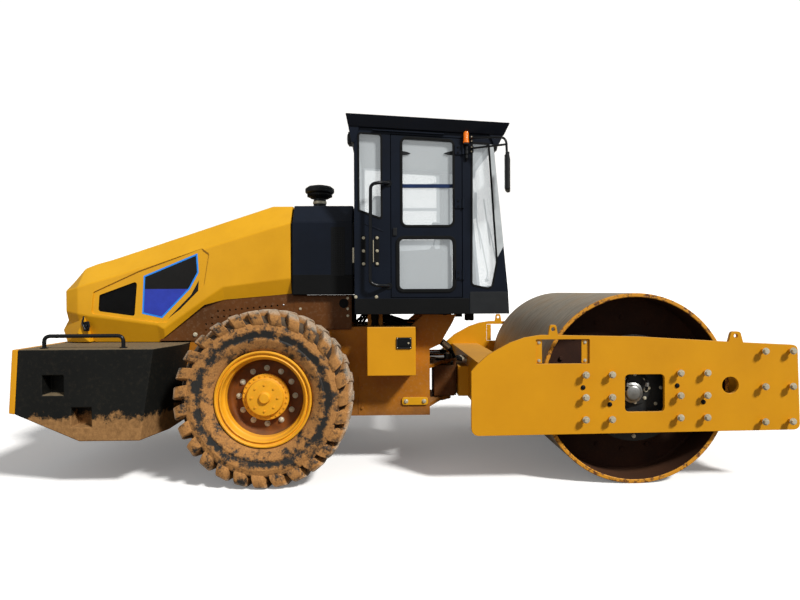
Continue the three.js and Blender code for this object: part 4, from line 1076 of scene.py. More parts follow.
def hood_chin():
    """The faceted chin under the nose."""
    bm = bmesh.new()
    for side in (1, -1):
        for x, y, z in ((-1.889, 0.395, 1.226), (-1.835, 0.440, 1.122), (-1.822, 0.430, 1.322),
                        (-1.690, 0.546, 1.205), (-1.631, 0.548, 1.350), (-1.600, 0.520, 1.124),
                        (-1.700, 0.500, 1.122), (-1.700, 0.46, 1.350)):
            bm.verts.new((ahead(x), side * y, z))
    bmesh.ops.convex_hull(bm, input=bm.verts[:])
    bmesh.ops.dissolve_limit(bm, angle_limit=math.radians(2), verts=bm.verts, edges=bm.edges)
    bmesh.ops.recalc_face_normals(bm, faces=bm.faces)
    return round_edges(bm, sharp_edges(bm, 15), 0.006, 2)


def inward(points, distance):
    """An outline drawn a distance further in; its points run round either way."""
    flat = [Vector(p[:2]) for p in points]
    area = sum(a.cross(b) for a, b in zip(flat, flat[1:] + flat[:1]))
    made = []
    for i, here in enumerate(flat):
        before = (here - flat[i - 1]).normalized()
        after = (flat[(i + 1) % len(flat)] - here).normalized()
        turn = [Vector((-d.y, d.x)) * (1 if area > 0 else -1) for d in (before, after)]
        miter = (turn[0] + turn[1]).normalized()
        made.append(tuple(here + miter * distance / max(miter.dot(turn[1]), 0.3)))
    return made


def clipped(points, height, above):
    """The part of an outline above or below a height."""
    kept = []
    for i, (x, z) in enumerate(points):
        x2, z2 = points[(i + 1) % len(points)]
        if (z >= height) == above:
            kept.append((x, z))
        if (z - height) * (z2 - height) < 0:
            t = (height - z) / (z2 - z)
            kept.append((x + (x2 - x) * t, height))
    return kept


def sticker(side):
    """Blank two-tone film panel with a bright outline, and the black flash beside it."""
    face = side * (HOOD_HALF - RECESS_DEPTH)
    outline = points_at(STICKER)
    body = inward(outline, 0.014)
    yield prism(outline, "Y", (face - side * 0.001, face + side * 0.0012)), "film edge"
    for above, finish in ((True, "film black"), (False, "film blue")):
        yield prism(clipped(body, SPLIT_Z, above), "Y", (face, face + side * 0.0018)), finish
    yield panel_on(side, face, [(-0.651, 1.657), (-0.660, 1.525), (-0.919, 1.326), (-0.717, 1.533)], -0.001,
                   0.0015), "film black"


def side_vent(side):
    """Wire cloth behind the hood's side window: crossed wires over a black sheet of painted shade for the hood's
    inside, framed by the panel.
    """
    face = side * (HOOD_HALF - 0.020)
    back = face - side * 0.012
    corners = points_at([(-1.545, 1.575), (-1.155, 1.690), (-1.175, 1.315), (-1.555, 1.365)])
    # A black sheet behind the wires: painted shade of the hood's inside.
    yield prism(corners, "Y", (back, back - side * 0.004)), "mesh"
    x0, x1 = ahead(-1.54), ahead(-1.16)
    wires = rod((x0, face - side * 0.006, 1.33), (x0, face - side * 0.006, 1.66), 0.0016, 5, 0)
    yield row_copies(wires, 47, (0.008, 0, 0)), "mesh"
    rows = rod((x0, face - side * 0.004, 1.33), (x1, face - side * 0.004, 1.33), 0.0016, 5, 0)
    yield row_copies(rows, 42, (0, 0, 0.008)), "mesh"


def rear_slats():
    """Radiator opening: black slats across the mesh."""
    low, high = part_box("rear_grille")
    yield block((low.x, high.x), (low.y, high.y), (low.z, high.z), 0.002), "mesh"
    slat = block((low.x - 0.022, low.x + 0.001), (low.y + 0.045, high.y - 0.045), (low.z + 0.024, low.z + 0.032),
                 0.002)
    bmesh.ops.rotate(slat, cent=(low.x, 0, low.z + 0.028), verts=slat.verts, matrix=Matrix.Rotation(-0.5, 3, "Y"))
    yield row_copies(slat, 9, (0, 0, 0.024)), "mesh"
    post = block((low.x - 0.018, low.x), (-0.42, -0.41), (low.z + 0.02, high.z - 0.01), 0.001)
    yield row_copies(post, 8, (0, 0.1185, 0)), "mesh"


def hood_fittings():
    """Latches at the hood's lower edge and the fin on its top."""
    for side in (1, -1):
        face = side * HOOD_HALF
        x, z = ahead(-1.612), 1.267
        plate = block((x - 0.026, x + 0.026), (face, face + side * 0.006), (z - 0.045, z + 0.035), 0.003)
        loop = pipe([(x - 0.018, face + side * 0.010, z + 0.085), (x - 0.030, face + side * 0.014, z + 0.02),
                     (x - 0.004, face + side * 0.016, z - 0.035), (x + 0.030, face + side * 0.014, z - 0.01),
                     (x + 0.022, face + side * 0.012, z + 0.035), (x - 0.010, face + side * 0.010, z + 0.03)],
                    0.0075, smooth=True)
        yield plate, "black"
        yield loop, "black"
        yield rod((x, face + side * 0.004, z), (x, face + side * 0.022, z), 0.011, 16), "black"
    x, z = ahead(-0.403), 2.196
    yield prism([(x - 0.045, z + 0.012), (x + 0.040, z - 0.006), (x + 0.048, z + 0.012), (x - 0.038, z + 0.045)],
                "Y", (-0.05, 0.05), bevel=0.002), "aluminium"


# ---------------------------------------------------------------- engine cover and air intake

def engine_cover():
    """Painted cover between hood and cab: chamfered top, darker foot and a perforated louvre each side."""
    low, high = COVER_LOW, COVER_HIGH
    yield refined("engine_cover", 0.010, segments=3, angle=20), "blue-black"
    for side in (1, -1):
        face = side * high.y
        yield block((low.x + 0.003, high.x - 0.003), (face - side * 0.004, face + side * 0.002),
                    (low.z + 0.004, low.z + 0.175), 0.002), "grey-black"
        yield louvre(face, side), "black"
        # A black sheet behind the louvre's holes: painted shade of the space behind.
        shade_sheet = block((ahead(0.500), ahead(0.619)), (face - side * 0.004, face + side * 0.0008), (1.688, 2.115), 0)
        yield shade_sheet, "mesh"
    yield block((low.x - 0.006, low.x + 0.002), (-high.y + 0.004, high.y - 0.004), (low.z, 2.16), 0.001), "rubber"


def louvre(face, side):
    """A pressed strip of small square holes."""
    x0, z0, pitch, hole = ahead(0.507), 1.695, 0.0206, 0.0062
    holes = [[(x + a * hole, z + b * hole) for a, b in ((-1, -1), (1, -1), (1, 1), (-1, 1))]
             for x in (x0 + pitch * (i + 0.6) for i in range(5)) for z in (z0 + pitch * (j + 0.6) for j in range(20))]
    return prism([(x0 - 0.002, z0 - 0.002), (x0 + 0.107, z0 - 0.002), (x0 + 0.107, z0 + 0.415),
                  (x0 - 0.002, z0 + 0.415)], "Y", (face, face + side * 0.003), holes=holes)


def air_intake():
    """Rain-capped air intake: a stack, a clamp band and a mushroom cap with a grille ring."""
    low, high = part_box("air_intake")
    centre = ((low.x + high.x) / 2, 0, low.z)
    height = high.z - low.z
    reach = (high.x - low.x) / 2
    cap = height - 0.108
    yield lathe([(0, 0), (0.082, 0), (0.084, 0.006), (0.066, 0.014), (0.060, 0.03), (0.059, cap - 0.02),
                 (0, cap - 0.02)],
                centre, "Z", 64), "black"
    yield lathe([(0.059, 0.075), (0.064, 0.076), (0.065, 0.082), (0.065, 0.094), (0.064, 0.100), (0.059, 0.101)],
                centre, "Z", 64), "zinc"
    yield lathe([(0, cap - 0.03), (0.085, cap - 0.022), (0.112, cap), (0.116, cap + 0.012), (0.116, cap + 0.02),
                 (0.090, cap + 0.022), (0, cap + 0.022)], centre, "Z", 64), "plastic"
    yield lathe([(0, cap + 0.020), (0.118, cap + 0.020), (reach - 0.004, cap + 0.032), (reach, cap + 0.040),
                 (reach, cap + 0.066), (reach - 0.005, cap + 0.074), (reach - 0.030, cap + 0.092),
                 (0.05, height - 0.004), (0, height)], centre, "Z", 72), "plastic"
    fin = block((centre[0] + 0.098, centre[0] + 0.119), (-0.0015, 0.0015), (low.z + cap - 0.006, low.z + cap + 0.026),
                0.0005)
    yield round_copies(fin, 36, centre, "Z"), "plastic"


# ---------------------------------------------------------------- cab

PANE_CORNER = 0.045


def door_panes():
    """The door's two window outlines."""
    upper = points_at([(1.112, 2.103, PANE_CORNER), (1.547, 2.103, PANE_CORNER), (1.547, 2.818, PANE_CORNER),
                       (1.112, 2.844, PANE_CORNER)])
    lower = points_at([(1.080, 1.561, PANE_CORNER), (1.550, 1.561, PANE_CORNER), (1.550, 2.001, PANE_CORNER),
                       (1.080, 2.001, PANE_CORNER)])
    return upper, lower


def gasket(outline, face, side, width, proud):
    """A moulded rubber section round a window, half over the panel and half over the glass."""
    grown = [(*p, *c[2:]) for p, c in zip(inward(outline, -width * 0.6), outline)]
    shrunk = [(*p, *c[2:]) for p, c in zip(inward(outline, width * 0.4), outline)]
    grown = [(a, b, c + width * 0.6) if rest else (a, b)
             for (a, b, *rest) in grown for c in (rest[0] if rest else 0,)]
    shrunk = [(a, b, max(c - width * 0.4, 0.01)) if rest else (a, b)
              for (a, b, *rest) in shrunk for c in (rest[0] if rest else 0,)]
    return prism(grown, "Y", (face - side * 0.004, face + side * proud), holes=[shrunk],
                 bevel=min(proud, width) * 0.3, segments=2, steps=8)


def cab_shell():
    """Welded cab shell with its gaskets, trim and beacons; the handles are separate."""
    yield refined("cab_frame", 0.003, keep=lambda co: abs(co.y) < CAB_HALF + 0.0008), "blue-black"
    for side in (1, -1):
        face = side * CAB_HALF
        rear_pane = points_at([(0.752, 2.235, 0.012), (0.940, 2.165, 0.012), (0.940, 2.868, 0.03),
                               (0.752, 2.879, 0.02)])
        front_pane = points_at([(1.700, 1.605, 0.03), (1.868, 1.570, 0.04), (1.912, 1.800, 0.2), (1.845, 2.790, 0.01),
                                (1.706, 2.798, 0.01)])
        for pane in (rear_pane, front_pane):
            yield gasket(pane, face, side, 0.016, 0.004), "rubber"
        yield panel_on(side, face, [(1.684, 1.362, 0.01), (2.016, 1.362, 0.006), (2.008, 1.546, 0.006),
                                    (1.684, 1.546, 0.01)], -0.002, 0.004, 0.002), "grey band"
        # The pale strip on the front post is a painted reflection of the wrapped windscreen.
        yield panel_on(side, face, [(1.916, 1.830), (1.972, 1.935), (1.886, 2.785), (1.852, 2.785)], -0.002, 0.003,
                       0.001), "glass edge"
        sill = block((ahead(0.716), ahead(1.680)), (face - side * 0.002, face + side * 0.0025), (1.362, 1.492), 0.002)
        yield sill, "grey-black"
        yield panel_on(side, face, [(0.786, 2.132), (0.953, 2.063), (0.953, 2.053), (0.786, 2.122)], -0.002, 0.004,
                       0.0015), "blue-black"
        for x in (0.789, 0.903):
            strip = block((ahead(x - 0.018), ahead(x + 0.018)), (face, face + side * 0.006), (1.765, 2.022), 0.002)
            yield strip, "rubber"
            yield from bolts_on(side, face + side * 0.006, 0.010, ((x, 1.785), (x, 1.893), (x, 2.002)))
        yield block((ahead(0.868), ahead(0.875)), (face, face + side * 0.012), (1.80, 1.985), 0.001), "zinc"
        yield from bolts_on(side, face, 0.011, ((0.722, 1.507), (0.895, 1.507)))
        yield panel_on(side, face, [(0.870, 2.906), (1.470, 2.872), (1.470, 2.864), (0.870, 2.898)], -0.001, 0.022,
                       0.001), "blue-black"
        x = ahead(1.652)
        yield lathe([(0, 0), (0.024, 0), (0.024, 0.012), (0.021, 0.02), (0.021, 0.082), (0.014, 0.094), (0, 0.096)],
                    (x, face + side * 0.030, 2.792), "Z", 32), "amber"
        yield block((x - 0.020, x + 0.020), (face, face + side * 0.050), (2.776, 2.794), 0.003), "plastic"
        for z, r in ((2.750, 0.012), (2.716, 0.015), (2.680, 0.012)):
            yield rod((x + 0.006, face + side * 0.014, z - 0.014), (x + 0.006, face + side * 0.014, z + 0.016), r,
                      16), "plastic"
        yield pipe([(x + 0.006, face + side * 0.014, 2.775), (x + 0.012, face + side * 0.018, 2.70),
                    (x + 0.004, face + side * 0.012, 2.655), (x + 0.004, face - side * 0.01, 2.64)], 0.006,
                   smooth=True), "rubber"


def cab_trim():
    """Wipers, harness strip behind the cab and the front support under its floor."""
    glass_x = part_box("rear_window")[0].x
    arm = [(glass_x - 0.006, 0.30, 2.86), (glass_x - 0.045, 0.30, 2.84), (glass_x - 0.035, 0.33, 2.60),
           (glass_x - 0.012, 0.34, 2.44)]
    yield pipe(arm, 0.006, 0.02), "black"
    yield block((glass_x - 0.014, glass_x - 0.002), (0.325, 0.355), (2.36, 2.70), 0.003), "rubber"

    def screen(z, proud=0.0):
        return ahead(2.008 - 0.128 * (z - 1.551) / 1.299) - 0.024 + proud

    for y, lean in ((-0.35, 0.16), (0.20, 0.16)):
        foot, tip = (y, 1.66), (y + lean, 2.28)
        points = [(screen(1.66, 0.010), foot[0], 1.66), (screen(1.72, 0.040), y + 0.02, 1.72),
                  (screen(2.0, 0.028), y + lean * 0.6, 2.0), (screen(2.20, 0.016), tip[0], 2.20)]
        yield pipe(points, 0.006, 0.03), "black"
        blade = [(screen(1.98, 0.008), tip[0] - 0.05, 1.98), (screen(2.42, 0.008), tip[0] + 0.05, 2.42)]
        yield pipe(blade, 0.006, sides=8), "rubber"
        yield rod((screen(1.66), foot[0], 1.66), (screen(1.66, 0.03), foot[0], 1.66), 0.016, 20), "black"
    for side in (1, -1):
        x, y = ahead(0.700), side * 0.630
        yield (pipe([(x, y, 2.14), (x - 0.004, y, 2.0), (x + 0.002, y, 1.86), (x, y, 1.70)], 0.010, smooth=True),
               "rubber")
        yield rod((x, y + side * 0.001, 1.93), (x, y + side * 0.001, 1.80), 0.0115, 20), "zinc"
        yield block((ahead(1.69), ahead(1.765)), (side * 0.36, side * 0.44), (1.288, 1.360), 0.006), "rubber"


def grab_handles():
    """Bent tube handles beside the doors, on welded feet."""
    for side in (1, -1):
        y = side * (CAB_HALF + 0.075)
        path = [(ahead(1.002), side * CAB_HALF, 2.459), (ahead(0.935), y, 2.455), (ahead(0.852), y, 2.440),
                (ahead(0.846), y, 1.622), (ahead(0.90), y, 1.602), (ahead(1.002), side * CAB_HALF, 1.597)]
        yield pipe(path, 0.0145, 0.06, 16), "black"
        for z in (2.459, 1.597):
            foot = rod((ahead(1.002), side * CAB_HALF, z), (ahead(1.002), side * (CAB_HALF + 0.008), z), 0.028)
            yield foot, "black"


ROOF_LOW, ROOF_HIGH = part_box("cab_roof")


def roof_under(x):
    """Height of the roof's underside."""
    return 2.934 - 0.0572 * (x - ROOF_LOW.x)


def cab_roof():
    """Sloping roof, wider above than below, so that its sides face the ground."""
    outline = points_at([(0.648, 3.0255), (2.012, 2.948), (1.972, 2.860), (0.668, 2.934)])
    slab = prism(outline, "Y", (ROOF_LOW.y, ROOF_HIGH.y))
    for v in slab.verts:
        if v.co.z < roof_under(v.co.x) + 0.03:
            v.co.y *= 0.93
    return [(round_edges(slab, slab.edges[:], 0.006, 2), "blue-black")]


def work_lamps():
    """Lamps under both ends of the roof, each a housing, a bezel and a ribbed lens beside a slanted cheek."""
    for side in (1, -1):
        for cheek in ([(0.662, 2.960), (0.692, 2.800), (0.720, 2.800), (0.760, 2.932), (0.760, 2.950)],
                      [(1.978, 2.880), (1.925, 2.775), (1.890, 2.775), (1.850, 2.866), (1.850, 2.885)]):
            yield prism(points_at(cheek), "Y", (side * 0.690, side * 0.775), bevel=0.004), "blue-black"
        for x, way, z in ((ahead(0.680), -1, 2.862), (ahead(1.913), 1, 2.808)):
            y = side * 0.620
            yield block((x - 0.020, x + 0.020), (y - 0.058, y + 0.058), (z - 0.052, z + 0.052), 0.010, 3), "plastic"
            yield rod((x + way * 0.014, y, z), (x + way * 0.026, y, z), 0.046, 32, 0.003), "black"
            yield dome((x + way * 0.026, y, z), (way, 0, 0), 0.040, 0.006), "clear"
            yield block((x - 0.008, x + 0.008), (y - 0.012, y + 0.012), (z + 0.045, roof_under(x) + 0.006),
                        0.002), "black"


def door(side):
    """Door leaf with raised window gaskets, hinge bolts, lock and a bar across the upper window."""
    name = f"door_{name_of(side)}"
    face = side * CAB_HALF
    leaf = refined(name, 0.0035)
    upper, lower = door_panes()
    yield leaf, "blue-black"
    yield gasket(upper, face, side, 0.020, 0.005), "rubber"
    yield gasket(lower, face, side, 0.030, 0.010), "rubber"
    low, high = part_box(f"door_glass_{name_of(side)}")
    pane = high.y if side > 0 else low.y
    bar = block((ahead(1.108), ahead(1.552)), (pane + side * 0.0005, pane + side * 0.010), (2.425, 2.457), 0.002)
    yield bar, "navy"
    for x, way in ((1.112, 1), (1.547, -1)):
        yield prism(points_at([(x - way * 0.004, 2.738), (x + way * 0.045, 2.728), (x + way * 0.078, 2.716),
                               (x + way * 0.045, 2.704), (x - way * 0.004, 2.700)]), "Y",
                    (pane + side * 0.0005, pane + side * 0.012), bevel=0.002), "plastic"
    yield block((ahead(1.036), ahead(1.070)), (face, face + side * 0.012), (2.02, 2.085), 0.004), "plastic"
    for z in (1.650, 2.250, 2.700):
        for dz in (0.018, 0.062):
            yield (hex_bolt((ahead(1.588), face + side * 0.010, z + dz), (0, side, 0), 0.008, washer=False), "black")


def mirror(side):
    """Mirror on two tube arms: a moulded head with its glass facing back."""
    node = f"mirror_{name_of(side)}"
    low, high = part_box(node)
    y = side * (CAB_HALF + 0.190)
    inner, outer = y - 0.085, y + 0.085
    root, bend = side * CAB_HALF, side * (CAB_HALF + 0.045)
    upper = [(ahead(1.700), root, 2.830), (ahead(1.700), bend, 2.830), (ahead(1.880), side * 0.90, 2.812),
             (ahead(1.955), y, 2.795), (ahead(1.966), y, 2.600)]
    lower = [(ahead(1.700), root, 2.743), (ahead(1.700), bend, 2.743), (ahead(1.966), y, 2.743)]
    head = Matrix.Rotation(side * 0.25, 3, "Z")

    def turned(bm):
        bmesh.ops.rotate(bm, cent=(ahead(1.966), y, 2.5), matrix=head, verts=bm.verts)
        return bm

    back = turned(block((ahead(1.950), high.x), (inner, outer), (low.z, 2.652), 0.014, 4))
    yield pipe(upper, 0.0095, 0.05, 16), "black"
    yield pipe(lower, 0.0085, 0.03, 16), "black"
    yield back, "plastic"
    yield turned(block((ahead(1.9455), ahead(1.952)), (inner + 0.008, outer - 0.008), (low.z + 0.010, 2.642),
                       0.002, 1)), "mirror"
    for z in (2.830, 2.743):
        yield (block((ahead(1.682), ahead(1.718)), (root, root + side * 0.008), (z - 0.028, z + 0.028), 0.002),
               "black")
        for dz in (-0.018, 0.018):
            yield (hex_bolt((ahead(1.700), root + side * 0.008, z + dz), (0, side, 0), 0.006, washer=False), "zinc")
    yield rod((ahead(1.966), y, 2.60), (ahead(1.966), y, 2.68), 0.016, 20), "plastic"


# ---------------------------------------------------------------- inside the cab

def stuffed(name, outline, half, cap):
    """A foam cushion: its block is remeshed, blown up a little as cloth and smoothed."""
    bm = prism(outline, "Y", (-half + 0.012, half - 0.012), bevel=0.028, segments=3)
    mesh = bpy.data.meshes.new(name)
    bm.to_mesh(mesh)
    bm.free()
    made = bpy.data.objects.new(name, mesh)
    bpy.context.scene.collection.objects.link(made)
    bpy.context.view_layer.objects.active = made
    mesh.remesh_voxel_size = 0.0075
    with bpy.context.temp_override(active_object=made, object=made, selected_objects=[made],
                                   selected_editable_objects=[made]):
        bpy.ops.object.voxel_remesh()
    start = [v.co.copy() for v in made.data.vertices]
    cloth = made.modifiers.new("Foam", "CLOTH")
    cloth.settings.use_pressure = True
    cloth.settings.uniform_pressure_force = 4.0
    cloth.settings.effector_weights.gravity = 0.0
    cloth.settings.quality = 4
    cloth.point_cache.frame_start, cloth.point_cache.frame_end = 1, 20
    scene = bpy.context.scene
    for step in range(1, 21):
        scene.frame_set(step)
    graph = bpy.context.evaluated_depsgraph_get()
    blown = bpy.data.meshes.new_from_object(made.evaluated_get(graph))
    made.modifiers.clear()
    for vertex, before, after in zip(made.data.vertices, start, blown.vertices):
        shift = after.co - before
        vertex.co = before + shift * min(1.0, cap / max(shift.length, 1e-9))
    bpy.data.meshes.remove(blown)
    scene.frame_set(1)
    made.data.shade_smooth()
    return made


def sewn(made, channels, depth, width):
    """Presses sewn channels into a cushion: each is (point on its line, line's flat normal)."""
    for vertex in made.data.vertices:
        for at, normal in channels:
            away = (vertex.co - at).dot(normal)
            press = depth * math.exp(-(away / width) ** 2)
            vertex.co -= vertex.normal * press
    made.data.update()
    return made


def dressed(made, body, node):
    """Cloth finish for a cushion that stands for a frame node."""
    made.data.materials.clear()
    made.data.materials.append(surface("cloth"))
    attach(made, body)
    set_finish(made, "seat_fabric")
    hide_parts(node)


def seat_bases():
    """Seat frame: a suspension box with rubber bellows, slide rails and the shell under the cushion."""
    low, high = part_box("seat_base")
    x0, x1 = low.x + 0.085, low.x + 0.405
    yield block((x0, x1), (-0.20, 0.20), (low.z, low.z + 0.035), 0.004), "black"
    fold = lathe([(0.0, 0), (0.20, 0), (0.215, 0.016), (0.20, 0.032), (0.0, 0.032)],
                 ((x0 + x1) / 2, 0, low.z + 0.034), "Z", 4)
    bmesh.ops.rotate(fold, cent=((x0 + x1) / 2, 0, 0), matrix=Matrix.Rotation(math.pi / 4, 3, "Z"), verts=fold.verts)
    yield row_copies(fold, 6, (0, 0, 0.0325)), "rubber"
    yield block((low.x, high.x), (low.y, high.y), (high.z - 0.055, high.z), 0.012, 3), "plastic"
    for side in (1, -1):
        yield block((low.x + 0.03, high.x - 0.02), (side * 0.16, side * 0.19), (high.z - 0.072, high.z - 0.05),
                    0.002), "zinc"


def console():
    """Moulded side console with a travel lever in its boot and a row of rocker switches."""
    low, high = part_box("console")
    yield refined("console", 0.012, segments=3), "plastic"
    y = (low.y + high.y) / 2
    foot = Vector((high.x - 0.16, y, high.z - 0.024))
    yield lathe([(0, 0), (0.045, 0), (0.040, 0.012), (0.034, 0.016), (0.030, 0.028), (0.022, 0.034),
                 (0.014, 0.05), (0, 0.05)], foot, "Z", 32), "rubber"
    yield rod(foot + Vector((0, 0, 0.03)), foot + Vector((0.03, 0, 0.16)), 0.007, 16), "chrome"
    yield lathe([(0, 0), (0.017, 0), (0.022, 0.03), (0.024, 0.055), (0.018, 0.072), (0, 0.076)],
                foot + Vector((0.03, 0, 0.15)), "Z", 32), "plastic"
    switch = block((high.x - 0.34, high.x - 0.315), (y - 0.055, y - 0.035), (high.z - 0.034, high.z - 0.020), 0.002)
    yield row_copies(switch, 4, (0, 0.03, 0)), "black"


def steering_column():
    """Steering column with its boot, instrument hood, wheel and horn pad."""
    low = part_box("steering_column")[0]
    centre = Vector((ahead(1.610), 0, 2.120))
    tilt = Matrix.Rotation(0.45, 4, "Y")

    def tilted(bm):
        bmesh.ops.transform(bm, matrix=Matrix.Translation(centre) @ tilt, verts=bm.verts)
        return bm

    ring = [(0.190 + 0.0145 * math.cos(a), 0.0145 * math.sin(a)) for a in (i * math.pi / 8 for i in range(16))]
    rim_ring = lathe(ring, (0, 0, 0), "Z", 72)
    spokes = block((-0.014, 0.014), (-0.186, 0.186), (-0.008, 0.004), 0.005, 3)
    third = block((-0.186, 0.0), (-0.014, 0.014), (-0.008, 0.004), 0.005, 3)
    hub = lathe([(0, -0.05), (0.030, -0.05), (0.036, -0.02), (0.052, -0.006), (0.052, 0.010), (0.044, 0.018),
                 (0, 0.020)], (0, 0, 0), "Z", 40)
    post = prism([(ahead(1.600), low.z), (ahead(1.790), low.z), (ahead(1.750), 1.900), (ahead(1.668), 2.075),
                  (ahead(1.618), 2.060), (ahead(1.650), 1.880)], "Y", (-0.045, 0.045), bevel=0.014, segments=3)
    panel = prism([(ahead(1.655), 1.960), (ahead(1.760), 1.900), (ahead(1.790), 1.960), (ahead(1.700), 2.060)],
                  "Y", (-0.11, 0.11), bevel=0.012, segments=3)
    return [(tilted(rim_ring), "plastic"), (tilted(spokes), "plastic"), (tilted(third), "plastic"),
            (tilted(hub), "plastic"), (post, "plastic"), (panel, "plastic")]


# ---------------------------------------------------------------- hitch and steering

HITCH_X = ahead(1.510)


def hitch():
    """Articulation block between the frame's ears, with its pin caps, arms and the oscillation shaft."""
    # The casting takes the skirts' dark brown: painted shade under the frame and cab.
    yield refined("hitch", 0.006, segments=3, angle=40), "skirt"
    cap = ((0, 0), (0.058, 0), (0.058, 0.010), (0.050, 0.016), (0.026, 0.017), (0.024, 0.024), (0, 0.024))
    for z, way in ((0.893, 1), (0.519, -1)):
        yield lathe([(r, way * s) for r, s in cap], (HITCH_X, 0, z - way * 0.003), "Z", 40), "black"


STEER_PIN_X, ROD_EYE_X, STEER_Z = ahead(0.950), ahead(1.550), 0.945


def steering_line(side):
    """The pin, the rod's eye and the direction of a steering cylinder's centre line."""
    start = Vector((STEER_PIN_X, side * 0.170, STEER_Z))
    end = Vector((ROD_EYE_X, side * 0.205, STEER_Z))
    return start, end, (end - start).normalized()


def cylinder_eye(at):
    """The eye at one end of a steering cylinder, with its bore upright."""
    return lathe([(0.018, -0.022), (0.036, -0.022), (0.039, -0.019), (0.039, 0.019), (0.036, 0.022), (0.018, 0.022)],
                 at, "Z", 40)


def steering_barrel(side):
    """Steering cylinder: barrel, gland, base eye, pin and two ports with their fittings."""
    start, _, way = steering_line(side)
    barrel = lathe([(0, 0.040), (0.036, 0.040), (0.040, 0.046), (0.040, 0.372), (0.045, 0.376), (0.045, 0.402),
                    (0.041, 0.407), (0, 0.407)], (0, 0, 0), "Z", 48)
    yield turned_to(barrel, start, way), "black"
    yield cylinder_eye(start), "black"
    yield rod(start - Vector((0, 0, 0.045)), start + Vector((0, 0, 0.045)), 0.0175, 24, 0.003), "zinc"
    for reach in (0.085, 0.345):
        foot = start + way * reach + Vector((0, 0, 0.030))
        yield rod(foot, foot + Vector((0, 0, 0.028)), 0.014, 6), "zinc"
        yield rod(foot + Vector((0, 0, 0.024)), foot + Vector((0, 0, 0.042)), 0.010, 16), "zinc"


def steering_rod(side):
    """Chromed piston rod with its clevis eye."""
    start, end, way = steering_line(side)
    yield rod(start + way * 0.250, end - way * 0.030, 0.022, 40), "chrome"
    yield cylinder_eye(end), "black"
    yield rod(end - Vector((0, 0, 0.022)), end + Vector((0, 0, 0.034)), 0.0175, 24, 0.003), "zinc"


def hose(points, radius):
    """A hydraulic hose with a crimped ferrule at each end."""
    start, end = Vector(points[0]), Vector(points[-1])
    yield pipe(points, radius, smooth=True, sides=16), "rubber"
    for at, other in ((start, Vector(points[1])), (end, Vector(points[-2]))):
        way = (other - at).normalized()
        yield rod(at, at + way * 0.045, radius * 1.35, 6), "zinc"
        yield rod(at + way * 0.04, at + way * 0.075, radius * 1.2, 20), "black"


# Where the hose bundle leaves the rear frame, crosses over the hitch and enters the front beam.
BUNDLE = ((0.122, 0.020), (0.089, 0.0), (0.057, 0.030), (0.026, -0.010), (-0.026, 0.015), (-0.057, -0.005),
          (-0.089, 0.022), (-0.122, 0.010))


# Stations of the bundle's two halves: ahead of the axle, share of the spread, height, share of the rise.
TO_HITCH = ((1.330, 1, 1.060, 0), (1.400, 1, 1.085, 1), (1.480, 1, 1.080, 1), (1.545, 0.9, 1.030, 1))
TO_FRONT = ((1.545, 0.9, 1.030, 1), (1.590, 0.85, 0.995, 1), (1.640, 0.9, 0.905, 0), (1.744, 0.95, 0.900, 0))


def hoses(radius, stations):
    """One half of the hose bundle."""
    for y, rise in BUNDLE:
        yield from hose([(ahead(x), y * spread, z + rise * lifted) for x, spread, z, lifted in stations], radius)


# ---------------------------------------------------------------- settings

class RollerLooks(bpy.types.PropertyGroup):
    lugs: bpy.props.IntProperty(
        name="Lugs", description="Lugs in each of a tyre's two rows", default=27, min=12, max=40)
    hole: bpy.props.FloatProperty(
        name="Skirt hole", description="Radius of the holes in the engine skirts", default=0.0085, min=0.003,
        max=0.015, unit="LENGTH")
    pitch: bpy.props.FloatProperty(
        name="Skirt pitch", description="Distance between the holes in the engine skirts", default=0.052, min=0.035,
        max=0.1, unit="LENGTH")
    hose: bpy.props.FloatProperty(
        name="Hose radius", description="Radius of the hoses over the hitch", default=0.0135, min=0.008, max=0.018,
        unit="LENGTH")
    foam: bpy.props.FloatProperty(
        name="Foam rise", description="How far a cushion may swell from its block", default=0.024, min=0.0, max=0.03,
        unit="LENGTH")
    key: bpy.props.FloatProperty(
        name="Key light", description="Strength of the high side light", default=3.7, min=0.0, max=10.0)
    fill: bpy.props.FloatProperty(
        name="Fill light", description="Power of the wide front light in watts", default=60.0, min=0.0, max=5000.0)
    lens: bpy.props.FloatProperty(
        name="Lens", description="Focal length of the camera", default=27.3, min=10.0, max=200.0, unit="CAMERA")
    backdrop: bpy.props.FloatVectorProperty(
        name="Surroundings", description="Colour of the light from all round", subtype="COLOR", size=4, min=0.0,
        max=1.0, default=hexed("f4f6f8"))


# ---------------------------------------------------------------- operators

class ROLLER_OT_wheels(bpy.types.Operator):
    """Lugged tyres and bolted rims"""
    bl_idname = "roller.wheels"
    bl_label = "Wheels"

    def execute(self, context):
        for name, side in SIDES.items():
            body = f"wheel_{name}"
            piece(f"Tyre_{name}", tyre(side, context.scene.roller_looks.lugs), body, "tyre_rubber", [f"tyre_{name}"])
            piece(f"Rim_{name}", rim(side), body, "yellow_paint", [f"rim_{name}"])
        return {"FINISHED"}


class ROLLER_OT_drum(bpy.types.Operator):
    """The drum with its chipped rims and bolted end discs"""
    bl_idname = "roller.drum"
    bl_label = "Drum"

    def execute(self, context):
        piece("Drum_shell", drum_shell(), "drum", "rolled_steel", ["drum"])
        return {"FINISHED"}


